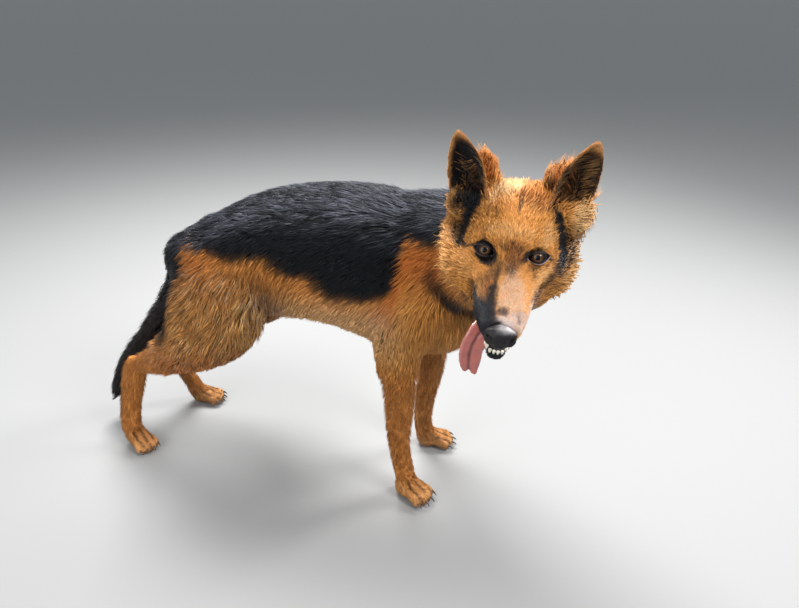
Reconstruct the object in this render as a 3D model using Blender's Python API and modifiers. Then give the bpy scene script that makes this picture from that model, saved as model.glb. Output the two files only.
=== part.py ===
"""A young black-and-tan German Shepherd dog standing still, life size.

The dog faces +X with its left side at +Y and its paws on Z = 0. The flesh is
modelled whole from lofted tubes and rounded lumps, merged, and then parted
into nodes with thin cuts. Ears, eyes, nose, tongue, teeth and claws are solids
of their own, let into the flesh with a hairline gap. All sizes are in metres
and reach to the tips of the coat.
"""

import math

import bmesh
import bpy
from mathutils import Euler, Matrix, Vector

# ---------------------------------------------------------------- sizes
GAP = 0.0003                    # hairline between neighbouring nodes
WELD = 0.000002                  # vertices closer than this are one
GRAIN = 0.0042                  # voxel size of the merged flesh
FLESH_TRIANGLES = 3600
RIGHT, LEFT = -1, 1

# Trunk stations: x, height of the back, height of the belly, half width
TRUNK = (
    (-0.196, 0.440, 0.396, 0.030),
    (-0.176, 0.472, 0.388, 0.058),
    (-0.140, 0.498, 0.384, 0.080),
    (-0.085, 0.527, 0.376, 0.090),
    (-0.030, 0.556, 0.362, 0.093),
    (0.030, 0.578, 0.343, 0.097),
    (0.090, 0.590, 0.343, 0.101),
    (0.150, 0.597, 0.334, 0.104),
    (0.210, 0.597, 0.317, 0.105),
    (0.270, 0.585, 0.302, 0.100),
    (0.330, 0.548, 0.300, 0.088),
    (0.375, 0.492, 0.322, 0.064),
    (0.396, 0.440, 0.356, 0.036),
)

# Tubes are rings at (x, y, z) with (half width across, half depth)
NECK = (
    ((0.245, 0.000, 0.475), (0.088, 0.112)),
    ((0.310, -0.006, 0.492), (0.087, 0.104)),
    ((0.365, -0.026, 0.510), (0.086, 0.097)),
    ((0.412, -0.060, 0.531), (0.087, 0.090)),
    ((0.440, -0.104, 0.552), (0.086, 0.080)),
    ((0.452, -0.150, 0.572), (0.070, 0.060)),
)
TAIL = (
    ((-0.150, 0.000, 0.452), (0.026, 0.024)),
    ((-0.182, 0.001, 0.405), (0.026, 0.026)),
    ((-0.206, 0.003, 0.345), (0.027, 0.029)),
    ((-0.243, 0.006, 0.283), (0.030, 0.033)),
    ((-0.292, 0.009, 0.222), (0.033, 0.033)),
    ((-0.343, 0.008, 0.166), (0.032, 0.030)),
    ((-0.388, 0.002, 0.106), (0.025, 0.023)),
    ((-0.422, -0.006, 0.046), (0.010, 0.010)),
)
# The forelegs and hind legs stand a little differently on each side
FORELEG = {
    "right": (
        ((0.315, -0.058, 0.455), (0.040, 0.062)),
        ((0.285, -0.076, 0.390), (0.039, 0.060)),
        ((0.274, -0.082, 0.325), (0.036, 0.043)),
        ((0.276, -0.078, 0.262), (0.031, 0.036)),
        ((0.275, -0.076, 0.205), (0.027, 0.031)),
        ((0.273, -0.073, 0.140), (0.023, 0.0255)),
        ((0.277, -0.071, 0.095), (0.023, 0.0225)),
        ((0.285, -0.074, 0.055), (0.022, 0.0215)),
        ((0.292, -0.078, 0.024), (0.021, 0.020)),
    ),
    "left": (
        ((0.325, 0.058, 0.455), (0.040, 0.062)),
        ((0.302, 0.076, 0.390), (0.039, 0.060)),
        ((0.294, 0.082, 0.325), (0.036, 0.043)),
        ((0.302, 0.079, 0.262), (0.031, 0.037)),
        ((0.303, 0.077, 0.205), (0.027, 0.031)),
        ((0.293, 0.074, 0.140), (0.023, 0.0255)),
        ((0.289, 0.072, 0.095), (0.023, 0.0225)),
        ((0.290, 0.074, 0.055), (0.022, 0.0215)),
        ((0.294, 0.077, 0.024), (0.021, 0.020)),
    ),
}
THIGH = {
    "right": (
        ((-0.095, -0.045, 0.470), (0.040, 0.062)),
        ((-0.078, -0.064, 0.425), (0.045, 0.088)),
        ((-0.072, -0.080, 0.378), (0.041, 0.102)),
        ((-0.093, -0.087, 0.332), (0.039, 0.086)),
        ((-0.137, -0.089, 0.287), (0.034, 0.062)),
        ((-0.194, -0.082, 0.251), (0.027, 0.042)),
        ((-0.246, -0.069, 0.219), (0.022, 0.033)),
        ((-0.292, -0.056, 0.198), (0.019, 0.023)),
    ),
    "left": (
        ((-0.095, 0.045, 0.470), (0.040, 0.062)),
        ((-0.070, 0.064, 0.425), (0.045, 0.088)),
        ((-0.060, 0.080, 0.378), (0.041, 0.102)),
        ((-0.079, 0.088, 0.332), (0.039, 0.086)),
        ((-0.123, 0.091, 0.287), (0.034, 0.062)),
        ((-0.184, 0.087, 0.247), (0.027, 0.043)),
        ((-0.241, 0.080, 0.212), (0.023, 0.034)),
        ((-0.292, 0.074, 0.190), (0.019, 0.023)),
    ),
}
PASTERN = {
    "right": (
        ((-0.290, -0.055, 0.218), (0.018, 0.024)),
        ((-0.298, -0.056, 0.190), (0.021, 0.031)),
        ((-0.310, -0.062, 0.150), (0.0210, 0.029)),
        ((-0.322, -0.070, 0.100), (0.0205, 0.027)),
        ((-0.327, -0.078, 0.056), (0.021, 0.025)),
        ((-0.322, -0.082, 0.022), (0.021, 0.022)),
    ),
    "left": (
        ((-0.292, 0.073, 0.208), (0.018, 0.024)),
        ((-0.300, 0.073, 0.180), (0.021, 0.028)),
        ((-0.300, 0.076, 0.142), (0.0205, 0.024)),
        ((-0.290, 0.084, 0.094), (0.0195, 0.021)),
        ((-0.280, 0.092, 0.054), (0.020, 0.021)),
        ((-0.272, 0.096, 0.022), (0.021, 0.021)),
    ),
}
# Paws: centre on the floor, heading in degrees from +X, length and width
PAWS = {
    "fore_right": ((0.302, -0.077), -26.0, 0.086, 0.068),
    "fore_left": ((0.312, 0.084), 8.0, 0.086, 0.066),
    "hind_right": ((-0.304, -0.084), -27.0, 0.080, 0.060),
    "hind_left": ((-0.251, 0.100), 6.0, 0.080, 0.060),
}
TOES = 4
CLAW = (0.0125, 0.0034)         # length, root radius

# The head has its own axes: x along the muzzle, y to its left, z up from it,
# with the origin midway between the eyes.
EYES_MIDWAY = Vector((0.459, -0.222, 0.594))
HEAD_TURN = (-88.4, 31.0, -5.0)         # yaw, pitch, roll in degrees
# Head stations: x, top, bottom, half width
SKULL = (
    (-0.122, 0.000, -0.056, 0.036),
    (-0.108, 0.014, -0.064, 0.052),
    (-0.080, 0.029, -0.072, 0.064),
    (-0.048, 0.034, -0.070, 0.067),
    (-0.020, 0.028, -0.062, 0.061),
    (0.004, 0.014, -0.054, 0.051),
    (0.026, 0.006, -0.047, 0.0425),
    (0.052, 0.002, -0.042, 0.0370),
    (0.080, 0.000, -0.040, 0.0320),
    (0.104, -0.003, -0.037, 0.0265),
    (0.119, -0.010, -0.032, 0.0175),
)
JAW_OPEN = 15.0
JAW_HINGE = Vector((-0.030, 0.0, -0.045))
# Lower jaw as if closed: x, top, bottom, half width
JAW = (
    (-0.060, -0.020, -0.084, 0.058),
    (-0.020, -0.030, -0.082, 0.055),
    (0.015, -0.038, -0.076, 0.047),
    (0.048, -0.040, -0.068, 0.034),
    (0.080, -0.040, -0.063, 0.0235),
    (0.104, -0.041, -0.060, 0.0180),
    (0.118, -0.044, -0.056, 0.0110),
)
# Ruff of long hair behind the cheeks: x, top, bottom, half width
RUFF = (
    (-0.112, 0.000, -0.100, 0.066),
    (-0.080, 0.006, -0.112, 0.089),
    (-0.045, -0.004, -0.110, 0.095),
    (-0.010, -0.022, -0.102, 0.089),
    (0.014, -0.036, -0.094, 0.073),
    (0.034, -0.050, -0.086, 0.050),
)
TEETH_X = 0.1005                # centre of the arch of the lower incisors
EYE_RADIUS = 0.0118
EYE_AT = Vector((-0.0030, 0.0335, -0.0060))
EYE_OPENING = (0.0155, 0.0080, 0.0100)    # half width, half height, depth
NOSE_AT = Vector((0.1125, 0.0, -0.0135))
# Ear edges in head axes from base to tip: inner edge and outer edge
EAR_INNER = (
    (-0.050, 0.036, 0.010),
    (-0.055, 0.038, 0.046),
    (-0.060, 0.043, 0.076),
    (-0.064, 0.055, 0.101),
    (-0.067, 0.070, 0.1215),
)
EAR_OUTER = (
    (-0.062, 0.074, -0.006),
    (-0.068, 0.090, 0.026),
    (-0.072, 0.0935, 0.060),
    (-0.072, 0.0915, 0.094),
    (-0.070, 0.0855, 0.1175),
)
EAR_TIP = Vector((-0.069, 0.0790, 0.1285))
EAR_LEAN = 2.5                  # degrees, both ears towards the dog's right
EAR_THICK = 0.0060
# Tongue centre line in head axes, over the right lip and down
TONGUE = (
    ((0.034, -0.004, -0.060), (0.016, 0.0045)),
    ((0.058, -0.009, -0.063), (0.017, 0.0042)),
    ((0.078, -0.018, -0.063), (0.017, 0.0038)),
    ((0.090, -0.026, -0.070), (0.0160, 0.0036)),
    ((0.098, -0.031, -0.087), (0.0160, 0.0034)),
    ((0.106, -0.031, -0.107), (0.0150, 0.0032)),
    ((0.113, -0.029, -0.123), (0.0090, 0.0028)),
)


# ---------------------------------------------------------------- scene helpers
def clear_scene():
    for item in list(bpy.data.objects):
        bpy.data.objects.remove(item, do_unlink=True)


def collection(name):
    group = bpy.data.collections.new(name)
    bpy.context.scene.collection.children.link(group)
    return group


def material(name, colour, roughness, metallic=0.0):
    made = bpy.data.materials.new(name)
    made.use_nodes = True
    shader = made.node_tree.nodes["Principled BSDF"]
    shader.inputs["Base Color"].default_value = (*colour, 1.0)
    shader.inputs["Roughness"].default_value = roughness
    shader.inputs["Metallic"].default_value = metallic
    made.diffuse_color = (*colour, 1.0)
    return made


def mesh_object(name, verts, faces, group):
    mesh = bpy.data.meshes.new(name)
    mesh.from_pydata([tuple(v) for v in verts], [], faces)
    shape = bmesh.new()
    shape.from_mesh(mesh)
    bmesh.ops.recalc_face_normals(shape, faces=shape.faces)
    if shape.calc_volume(signed=True) < 0:
        bmesh.ops.reverse_faces(shape, faces=shape.faces)
    shape.to_mesh(mesh)
    shape.free()
    made = bpy.data.objects.new(name, mesh)
    group.objects.link(made)
    return made


def apply_modifier(item, kind, **settings):
    """Add one modifier, set it and bake it into the mesh."""
    step = item.modifiers.new(kind.title(), kind)
    for key, value in settings.items():
        setattr(step, key, value)
    bpy.context.view_layer.update()
    graph = bpy.context.evaluated_depsgraph_get()
    baked = bpy.data.meshes.new_from_object(item.evaluated_get(graph))
    item.modifiers.clear()
    old = item.data
    item.data = baked
    bpy.data.meshes.remove(old)


def join(name, items, group):
    """One object holding the meshes of several, which are removed."""
    merged = bmesh.new()
    for item in items:
        merged.from_mesh(item.data)
        mesh = item.data
        bpy.data.objects.remove(item, do_unlink=True)
        bpy.data.meshes.remove(mesh)
    mesh = bpy.data.meshes.new(name)
    merged.to_mesh(mesh)
    merged.free()
    made = bpy.data.objects.new(name, mesh)
    group.objects.link(made)
    return made


def grown(item, distance, group):
    """A copy of a solid swollen along its normals, used as a cutter."""
    copy = bpy.data.objects.new(item.name + "_cutter", item.data.copy())
    group.objects.link(copy)
    apply_modifier(copy, "DISPLACE", strength=distance, mid_level=0.0)
    return copy


def carve(item, cutter):
    """Cut one solid out of another and weld the slivers that this leaves."""
    apply_modifier(item, "BOOLEAN", operation="DIFFERENCE", object=cutter, solver="EXACT")
    shape = bmesh.new()
    shape.from_mesh(item.data)
    bmesh.ops.remove_doubles(shape, verts=shape.verts, dist=WELD)
    bmesh.ops.dissolve_degenerate(shape, edges=shape.edges, dist=WELD)
    bmesh.ops.triangulate(shape, faces=shape.faces)
    shape.to_mesh(item.data)
    shape.free()


def keep_largest(item):
    """Drop the crumbs that a cut can leave beside the main piece."""
    shape = bmesh.new()
    shape.from_mesh(item.data)
    parts = shells(shape)
    parts.sort(key=len, reverse=True)
    for crumbs in parts[1:]:
        bmesh.ops.delete(shape, geom=crumbs, context="VERTS")
    shape.to_mesh(item.data)
    shape.free()


def shells(shape):
    """The vertices of each separate shell of a bmesh."""
    seen, found = set(), []
    for start in shape.verts:
        if start in seen:
            continue
        seen.add(start)
        stack, shell = [start], []
        while stack:
            vert = stack.pop()
            shell.append(vert)
            for edge in vert.link_edges:
                other = edge.other_vert(vert)
                if other not in seen:
                    seen.add(other)
                    stack.append(other)
        found.append(shell)
    return found


# ---------------------------------------------------------------- curves and lofts
def smooth_path(values, steps):
    """Catmull-Rom through tuples of numbers, with steps between neighbours."""
    padded = [values[0], *values, values[-1]]
    out = []
    for i in range(1, len(padded) - 2):
        a, b, c, d = padded[i - 1:i + 3]
        for k in range(steps):
            t = k / steps
            out.append(tuple(
                0.5 * (2 * q + (r - p) * t + (2 * p - 5 * q + 4 * r - s) * t * t
                       + (3 * q - p - 3 * r + s) * t ** 3)
                for p, q, r, s in zip(a, b, c, d)))
    out.append(tuple(values[-1]))
    return out


def loft(name, rings, group):
    """Close a row of equal rings of points into one solid."""
    count = len(rings[0])
    verts = [point for ring in rings for point in ring]
    faces = [
        (r * count + k, r * count + (k + 1) % count,
         (r + 1) * count + (k + 1) % count, (r + 1) * count + k)
        for r in range(len(rings) - 1) for k in range(count)
    ]
    faces.append(tuple(range(count)))
    faces.append(tuple(range((len(rings) - 1) * count, len(rings) * count)))
    return mesh_object(name, verts, faces, group)


def squircle(angle, power):
    """Unit cross-section, round at power 2 and boxier above it."""
    c, s = math.cos(angle), math.sin(angle)
    reach = (abs(c) ** power + abs(s) ** power) ** (-1 / power)
    return c * reach, s * reach


def barrel(name, stations, group, power=2.2, sides=28, steps=4):
    """Upright rings along x from (x, top, bottom, half width)."""
    rings = []
    for x, top, bottom, half in smooth_path(stations, steps):
        middle, depth = (top + bottom) / 2, (top - bottom) / 2
        ring = []
        for k in range(sides):
            c, s = squircle(2 * math.pi * k / sides, power)
            ring.append(Vector((x, half * c, middle + depth * s)))
        rings.append(ring)
    return loft(name, rings, group)


def tube(name, stations, group, side=Vector((0, 1, 0)), power=2.1, sides=20, steps=4):
    """Rings square to a path, from ((x, y, z), (half width, half depth))."""
    path = smooth_path([(*place, *size) for place, size in stations], steps)
    points = [Vector(p[:3]) for p in path]
    rings = []
    for i, (*_, half, depth) in enumerate(path):
        along = (points[min(i + 1, len(points) - 1)] - points[max(i - 1, 0)]).normalized()
        across = (side - along * side.dot(along)).normalized()
        out = along.cross(across)
        ring = []
        for k in range(sides):
            c, s = squircle(2 * math.pi * k / sides, power)
            ring.append(points[i] + across * (half * c) + out * (depth * s))
        rings.append(ring)
    return loft(name, rings, group)


def lump(name, place, radii, group, turn=(0, 0, 0), sides=20):
    """A rounded ellipsoid lump."""
    shape = bmesh.new()
    bmesh.ops.create_uvsphere(shape, u_segments=sides, v_segments=sides // 2, radius=1.0)
    frame = (Matrix.Translation(place) @ Euler([math.radians(a) for a in turn]).to_matrix().to_4x4()
             @ Matrix.Diagonal((*radii, 1.0)))
    bmesh.ops.transform(shape, matrix=frame, verts=shape.verts)
    mesh = bpy.data.meshes.new(name)
    shape.to_mesh(mesh)
    shape.free()
    made = bpy.data.objects.new(name, mesh)
    group.objects.link(made)
    return made


def head_frame():
    yaw, pitch, roll = (math.radians(a) for a in HEAD_TURN)
    turn = Matrix.Rotation(yaw, 4, "Z") @ Matrix.Rotation(pitch, 4, "Y") @ Matrix.Rotation(roll, 4, "X")
    return Matrix.Translation(EYES_MIDWAY) @ turn


def to_head(item):
    """Carry a solid made in head axes to its place on the dog."""
    item.data.transform(head_frame())
    return item


# ---------------------------------------------------------------- flesh
def trunk(group):
    pieces = [barrel("trunk_form", TRUNK, group, power=2.25, sides=32)]
    # forechest between the shoulders, and the feathered line of the belly
    pieces.append(lump("forechest", (0.352, 0.0, 0.372), (0.052, 0.056, 0.078), group, turn=(0, 20, 0)))
    pieces.append(lump("breastbone", (0.262, 0.0, 0.335), (0.090, 0.052, 0.042), group))
    for side in (RIGHT, LEFT):
        shoulder_at, haunch_at = (0.262, side * 0.062, 0.455), (-0.104, side * 0.052, 0.452)
        pieces.append(lump("shoulder", shoulder_at, (0.078, 0.042, 0.098), group, turn=(0, -24, 0)))
        pieces.append(lump("haunch", haunch_at, (0.070, 0.048, 0.056), group, turn=(0, 10, 0)))
    return pieces


def foreleg(side, group):
    return [tube("foreleg_form_" + side, FORELEG[side], group)]


def hindleg(side, group):
    return [tube("thigh_form_" + side, THIGH[side], group),
            tube("pastern_form_" + side, PASTERN[side], group)]


def paw_frame(key):
    (x, y), heading, length, width = PAWS[key]
    return Matrix.Translation((x, y, 0)) @ Matrix.Rotation(math.radians(heading), 4, "Z"), length, width


def toe_rows(length, width):
    """Knuckle and tip of each toe in paw axes: x forward, y left."""
    for k in range(TOES):
        off = (k - (TOES - 1) / 2) / (TOES / 2)
        reach = 0.5 * length - 0.16 * length * off * off
        knuckle = Vector((reach - 0.016, off * width * 0.40, 0.0155))
        yield off, knuckle, Vector((reach - 0.001, off * width * 0.45, 0.0100))


def paw(key, group):
    frame, length, width = paw_frame(key)
    pieces = [lump("instep", (-0.10 * length, 0, 0.019), (0.40 * length, 0.42 * width, 0.022), group),
              lump("pad", (-0.16 * length, 0, 0.008), (0.30 * length, 0.38 * width, 0.011), group)]
    for off, knuckle, tip in toe_rows(length, width):
        spread = math.degrees(math.atan2(off * width * 0.10, 0.016))
        pieces.append(lump("toe", knuckle, (0.021, 0.0098, 0.0150), group, turn=(0, 16, spread)))
        pieces.append(lump("toe_pad", tip - Vector((0.007, 0, 0.003)), (0.011, 0.0085, 0.0088), group))
    for piece in pieces:
        piece.data.transform(frame)
    return pieces


def head(group):
    pieces = [barrel("skull_form", SKULL, group, power=2.3, sides=32)]
    for side in (RIGHT, LEFT):
        pieces += [
            lump("cheek", (-0.030, side * 0.042, -0.034), (0.046, 0.030, 0.030), group),
            lump("brow", (-0.016, side * 0.026, 0.012), (0.018, 0.017, 0.011), group,
                 turn=(0, 35, side * 20)),
            lump("lip", (0.086, side * 0.0165, -0.028), (0.030, 0.0125, 0.0135), group,
                 turn=(0, 0, -side * 9)),
            lump("ear_root", (-0.066, side * 0.062, 0.012), (0.022, 0.027, 0.030), group),
            lump("ear_tuft", (-0.090, side * 0.045, 0.040), (0.020, 0.015, 0.033), group,
                 turn=(-side * 22, 0, 0)),
            lump("side_ruff", (-0.066, side * 0.080, 0.006), (0.018, 0.014, 0.034), group,
                 turn=(-side * 6, 0, 0)),
        ]
    pieces.append(barrel("ruff_form", RUFF, group, power=2.0, sides=32))
    pieces.append(barrel("jaw_form", [jaw_station(*row) for row in JAW], group, power=2.3, sides=24))
    pieces.append(lump("throat", (-0.050, 0.0, -0.085), (0.055, 0.050, 0.038), group, turn=(0, 20, 0)))
    return [to_head(piece) for piece in pieces]


def jaw_station(x, top, bottom, half):
    """A ring of the closed jaw swung open about its hinge."""
    swing = Matrix.Rotation(math.radians(JAW_OPEN), 3, "Y")
    middle = JAW_HINGE + swing @ (Vector((x, 0, (top + bottom) / 2)) - JAW_HINGE)
    return middle.x, middle.z + (top - bottom) / 2, middle.z - (top - bottom) / 2, half


def flesh(group):
    """The whole body as one smooth closed skin with flat soles at Z = 0."""
    pieces = trunk(group) + head(group)
    pieces += [tube("neck_form", NECK, group, sides=28), tube("tail_form", TAIL, group)]
    for side in ("right", "left"):
        pieces += foreleg(side, group) + hindleg(side, group)
    for key in PAWS:
        pieces += paw(key, group)
    body = join("flesh", pieces, group)
    apply_modifier(body, "REMESH", mode="VOXEL", voxel_size=GRAIN)
    apply_modifier(body, "SMOOTH", factor=0.5, iterations=5)
    keep_largest(body)
    ratio = FLESH_TRIANGLES / (2 * len(body.data.polygons))
    apply_modifier(body, "DECIMATE", ratio=ratio)
    floor = block("floor_cutter", (0, 0, -0.05), (1.4, 0.6, 0.1), group)
    carve(body, floor)
    bpy.data.objects.remove(floor, do_unlink=True)
    return body


def block(name, centre, size, group, turn=None):
    shape = bmesh.new()
    bmesh.ops.create_cube(shape, size=1.0)
    bmesh.ops.scale(shape, vec=size, verts=shape.verts)
    if turn is not None:
        bmesh.ops.transform(shape, matrix=turn, verts=shape.verts)
    bmesh.ops.translate(shape, vec=centre, verts=shape.verts)
    mesh = bpy.data.meshes.new(name)
    shape.to_mesh(mesh)
    shape.free()
    made = bpy.data.objects.new(name, mesh)
    group.objects.link(made)
    return made


# ---------------------------------------------------------------- solids let into the flesh
def ear(side, group):
    """A cupped leaf: an arched sheet between its two edges, with real thickness."""
    rows, columns = 8, 6
    edges = [smooth_path([*edge, tuple(EAR_TIP)], 8) for edge in (EAR_INNER, EAR_OUTER)]
    front, back = [], []
    for r in range(rows):
        t = r / (rows - 1) * 0.965
        a, b = (Vector(edge[round(t * (len(edge) - 1))]) for edge in edges)
        bulge = 0.46 * (b - a).length * (1 - 0.35 * t)
        for k in range(columns + 1):
            s = k / columns
            rear = Vector((-1, 0, 0.1)) * bulge * math.sin(math.pi * s) ** 0.8
            point = a.lerp(b, s) + rear
            thick = EAR_THICK * (0.35 + 0.65 * math.sin(math.pi * s) ** 0.5) * (1 - 0.45 * t)
            front.append(point + Vector((thick / 2, 0, 0)))
            back.append(point - Vector((thick / 2, 0, 0)))
    width = columns + 1
    verts = [Vector((p.x, side * p.y, p.z)) for p in front + back]
    offset = len(front)
    faces = []
    for r in range(rows - 1):
        for k in range(columns):
            i = r * width + k
            quad = (i, i + 1, i + 1 + width, i + width)
            faces.append(quad)
            faces.append(tuple(offset + v for v in reversed(quad)))
    rim = ([k for k in range(width)]
           + [r * width + columns for r in range(1, rows)]
           + [(rows - 1) * width + k for k in range(columns - 1, -1, -1)]
           + [r * width for r in range(rows - 2, 0, -1)])
    for a, b in zip(rim, rim[1:] + rim[:1]):
        faces.append((b, a, offset + a, offset + b))
    name = "ear_left" if side == LEFT else "ear_right"
    made = mesh_object(name, verts, faces, group)
    made.data.transform(Matrix.Rotation(math.radians(EAR_LEAN), 4, "X"))
    return to_head(made)


def eyelid_cutter(side, group):
    """The almond opening in front of an eyeball."""
    place = Vector((EYE_AT.x, side * EYE_AT.y, EYE_AT.z)) + Vector((0.0062, side * 0.002, 0.0082))
    wide, high, deep = EYE_OPENING
    opening = lump("eye_opening_cutter", (0, 0, 0), (deep, wide, high), group, sides=12)
    turn = Euler((math.radians(-side * 8), math.radians(-52), math.radians(side * 16))).to_matrix().to_4x4()
    opening.data.transform(Matrix.Translation(place) @ turn)
    return to_head(opening)


def eye(side, group):
    name = "eye_left" if side == LEFT else "eye_right"
    place = Vector((EYE_AT.x, side * EYE_AT.y, EYE_AT.z))
    return to_head(lump(name, place, (EYE_RADIUS,) * 3, group, sides=12))


def nose(group):
    """Nose leather: a rounded block, wider above, with the groove below."""
    pieces = [
        lump("nose_top", NOSE_AT + Vector((0, 0, 0.003)), (0.0135, 0.0190, 0.0105), group,
             turn=(0, 18, 0), sides=24),
        lump("nose_front", NOSE_AT + Vector((0.003, 0, -0.005)), (0.0115, 0.0115, 0.0120), group,
             sides=20),
    ]
    for side in (RIGHT, LEFT):
        wing_at = NOSE_AT + Vector((0.001, side * 0.0115, -0.002))
        pieces.append(lump("nose_wing", wing_at, (0.0105, 0.0072, 0.0085), group))
    made = join("nose", pieces, group)
    apply_modifier(made, "REMESH", mode="VOXEL", voxel_size=0.0015)
    apply_modifier(made, "SMOOTH", factor=0.5, iterations=3)
    apply_modifier(made, "DECIMATE", ratio=200 / (2 * len(made.data.polygons)))
    return to_head(made)


def tongue(group):
    return to_head(tube("tongue", TONGUE, group, power=2.4, sides=8, steps=2))


def lower_teeth(group):
    """Six incisors and two canines on one strip of gum."""
    swing = Matrix.Rotation(math.radians(JAW_OPEN), 4, "Y")
    hinge = Matrix.Translation(JAW_HINGE) @ swing @ Matrix.Translation(-JAW_HINGE)
    pieces = []
    for k in range(9):
        a = math.radians(-80 + 20 * k)
        gum_at = (TEETH_X - 0.001 + 0.0075 * math.cos(a), 0.0110 * math.sin(a), -0.0420)
        pieces.append(lump("gum", gum_at, (0.0034, 0.0036, 0.0036), group, sides=8))
    for k in range(6):
        a = math.radians(-50 + 20 * k)
        root = Vector((TEETH_X + 0.0075 * math.cos(a), 0.0110 * math.sin(a), -0.0375))
        pieces.append(lump("incisor", root, (0.0016, 0.0018, 0.0052), group, sides=8))
    for side in (RIGHT, LEFT):
        canine = tube("canine", (
            ((TEETH_X - 0.0050, side * 0.0115, -0.0430), (0.0028, 0.0030)),
            ((TEETH_X - 0.0045, side * 0.0122, -0.0345), (0.0022, 0.0024)),
            ((TEETH_X - 0.0055, side * 0.0130, -0.0275), (0.0009, 0.0009)),
        ), group, sides=8, steps=2)
        pieces.append(canine)
    made = join("teeth_lower", pieces, group)
    apply_modifier(made, "REMESH", mode="VOXEL", voxel_size=0.0007)
    apply_modifier(made, "DECIMATE", ratio=360 / (2 * len(made.data.polygons)))
    made.data.transform(hinge)
    return to_head(made)


def claws(key, group):
    frame, length, width = paw_frame(key)
    made = []
    reach, root = CLAW
    for number, (off, _, tip) in enumerate(toe_rows(length, width), 1):
        start = tip + Vector((-0.0040, 0, 0.0035))
        stations = (
            (start, (root * 0.80, root)),
            (start + Vector((0.45 * reach, 0, 0.0008)), (root * 0.62, root * 0.80)),
            (start + Vector((0.80 * reach, 0, -0.0025)), (root * 0.38, root * 0.50)),
            (start + Vector((1.00 * reach, 0, -0.0060)), (root * 0.12, root * 0.15)),
        )
        claw = tube(f"claw_{key}_{number}", stations, group, sides=5, steps=1)
        claw.data.transform(frame)
        made.append(claw)
    return made


# ---------------------------------------------------------------- parting the flesh
def plate(name, centre, normal, length, width, group):
    """A thin plate square to normal that parts two nodes; its width runs across the dog."""
    turn = Vector((0, 0, 1)).rotation_difference(Vector(normal)).to_matrix().to_4x4()
    return block(name, centre, (length, width, GAP), group, turn=turn)


def cuts():
    """Every thin cut: centre, normal, length and width of its plate."""
    head_at = head_frame()
    turned = head_at.to_3x3()
    nape, jaw_corner = head_at @ Vector((-0.076, 0.0, -0.068)), head_at @ Vector((0.042, 0.0, -0.103))
    rows = [
        ("neck_from_trunk", (0.312, 0.0, 0.498), (0.74, 0.0, 0.67), 0.36, 0.26),
        ("head_from_neck", nape, turned @ Vector((0.69, 0, 0.72)), 0.24, 0.24),
        ("tail_from_trunk", (-0.194, 0.0, 0.370), (-0.30, 0.0, -0.95), 0.090, 0.076),
        ("jaw_from_head", jaw_corner, turned @ Vector((0.98, 0, -0.18)), 0.11, 0.11),
    ]
    for name, side in (("right", RIGHT), ("left", LEFT)):
        fore, thigh, pastern = FORELEG[name], THIGH[name], PASTERN[name]
        elbow, wrist = fore[2][0][0] - 0.003, fore[6][0][0] + 0.003
        hock = (pastern[2][0][0], pastern[2][0][1], 0.158)
        rows += [
            ("foreleg_" + name, (elbow, side * 0.079, 0.304), (0.05, 0, 1), 0.13, 0.10),
            ("forepaw_" + name, (wrist, side * 0.073, 0.074), (-0.12, 0, 1), 0.08, 0.08),
            ("thigh_" + name, (thigh[2][0][0], side * 0.088, 0.358), (0.20, 0, 1), 0.29, 0.150),
            ("shank_" + name, thigh[5][0], (-0.90, side * -0.12, -0.42), 0.12, 0.10),
            ("hindfoot_" + name, hock, (0.10, 0, 1), 0.09, 0.08),
        ]
    return rows


def anchors():
    """A point well inside each flesh node, which names the piece around it."""
    head_at = head_frame()
    found = {
        "trunk": Vector((0.10, 0.0, 0.47)),
        "neck": Vector((0.370, -0.035, 0.540)),
        "head": head_at @ Vector((-0.020, 0.0, -0.015)),
        "lower_jaw": head_at @ Vector((0.070, 0.0, -0.082)),
        "tail": Vector(TAIL[4][0]),
    }
    for name in ("right", "left"):
        found["foreleg_" + name] = Vector(FORELEG[name][4][0])
        found["forepaw_" + name] = Vector(FORELEG[name][8][0])
        found["thigh_" + name] = Vector(THIGH[name][3][0])
        found["shank_" + name] = Vector(THIGH[name][6][0])
        found["hindfoot_" + name] = Vector(PASTERN[name][4][0])
    return found


def mouth_cutter(group):
    """A wedge between palate and lower jaw, open at the front and sides."""
    half, depth, mouth = 0.060, 0.104, math.radians(JAW_OPEN)
    corner = Vector((0.034, 0, -0.054))
    rise, drop = 0.012, depth * math.tan(mouth) - 0.003
    outline = [(0, 0.0015), (depth, rise), (depth, -drop), (0, -0.0035)]
    verts = [corner + Vector((x, y, z)) for y in (-half, half) for x, z in outline]
    faces = [(0, 1, 2, 3), (7, 6, 5, 4)] + [(k, k + 4, (k + 1) % 4 + 4, (k + 1) % 4) for k in range(4)]
    return to_head(mesh_object("mouth_cutter", verts, faces, group))


def part_flesh(body, group, cutters):
    """Cut the merged flesh into its nodes and name each by its anchor."""
    for row in cuts():
        cutter = plate(row[0] + "_cut", *row[1:], cutters)
        carve(body, cutter)
    shape = bmesh.new()
    shape.from_mesh(body.data)
    pieces = []
    for shell in shells(shape):
        index = {vert: i for i, vert in enumerate(shell)}
        faces = {face for vert in shell for face in vert.link_faces}
        pieces.append(mesh_object("piece", [vert.co.copy() for vert in shell],
                                  [[index[vert] for vert in face.verts] for face in faces], group))
    shape.free()
    made = {}
    for name, place in anchors().items():
        piece = min(pieces, key=lambda item: depth_from(item, place))
        piece.name = piece.data.name = name
        made[name] = piece
        pieces.remove(piece)
    for crumb in pieces:
        bpy.data.objects.remove(crumb, do_unlink=True)
    return made


def depth_from(item, place):
    """Distance from a point to a solid's surface, with a penalty outside it."""
    _, spot, normal, _ = item.closest_point_on_mesh(place)
    away = (place - spot).length
    return away if (place - spot).dot(normal) < 0 else away + 1.0


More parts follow.
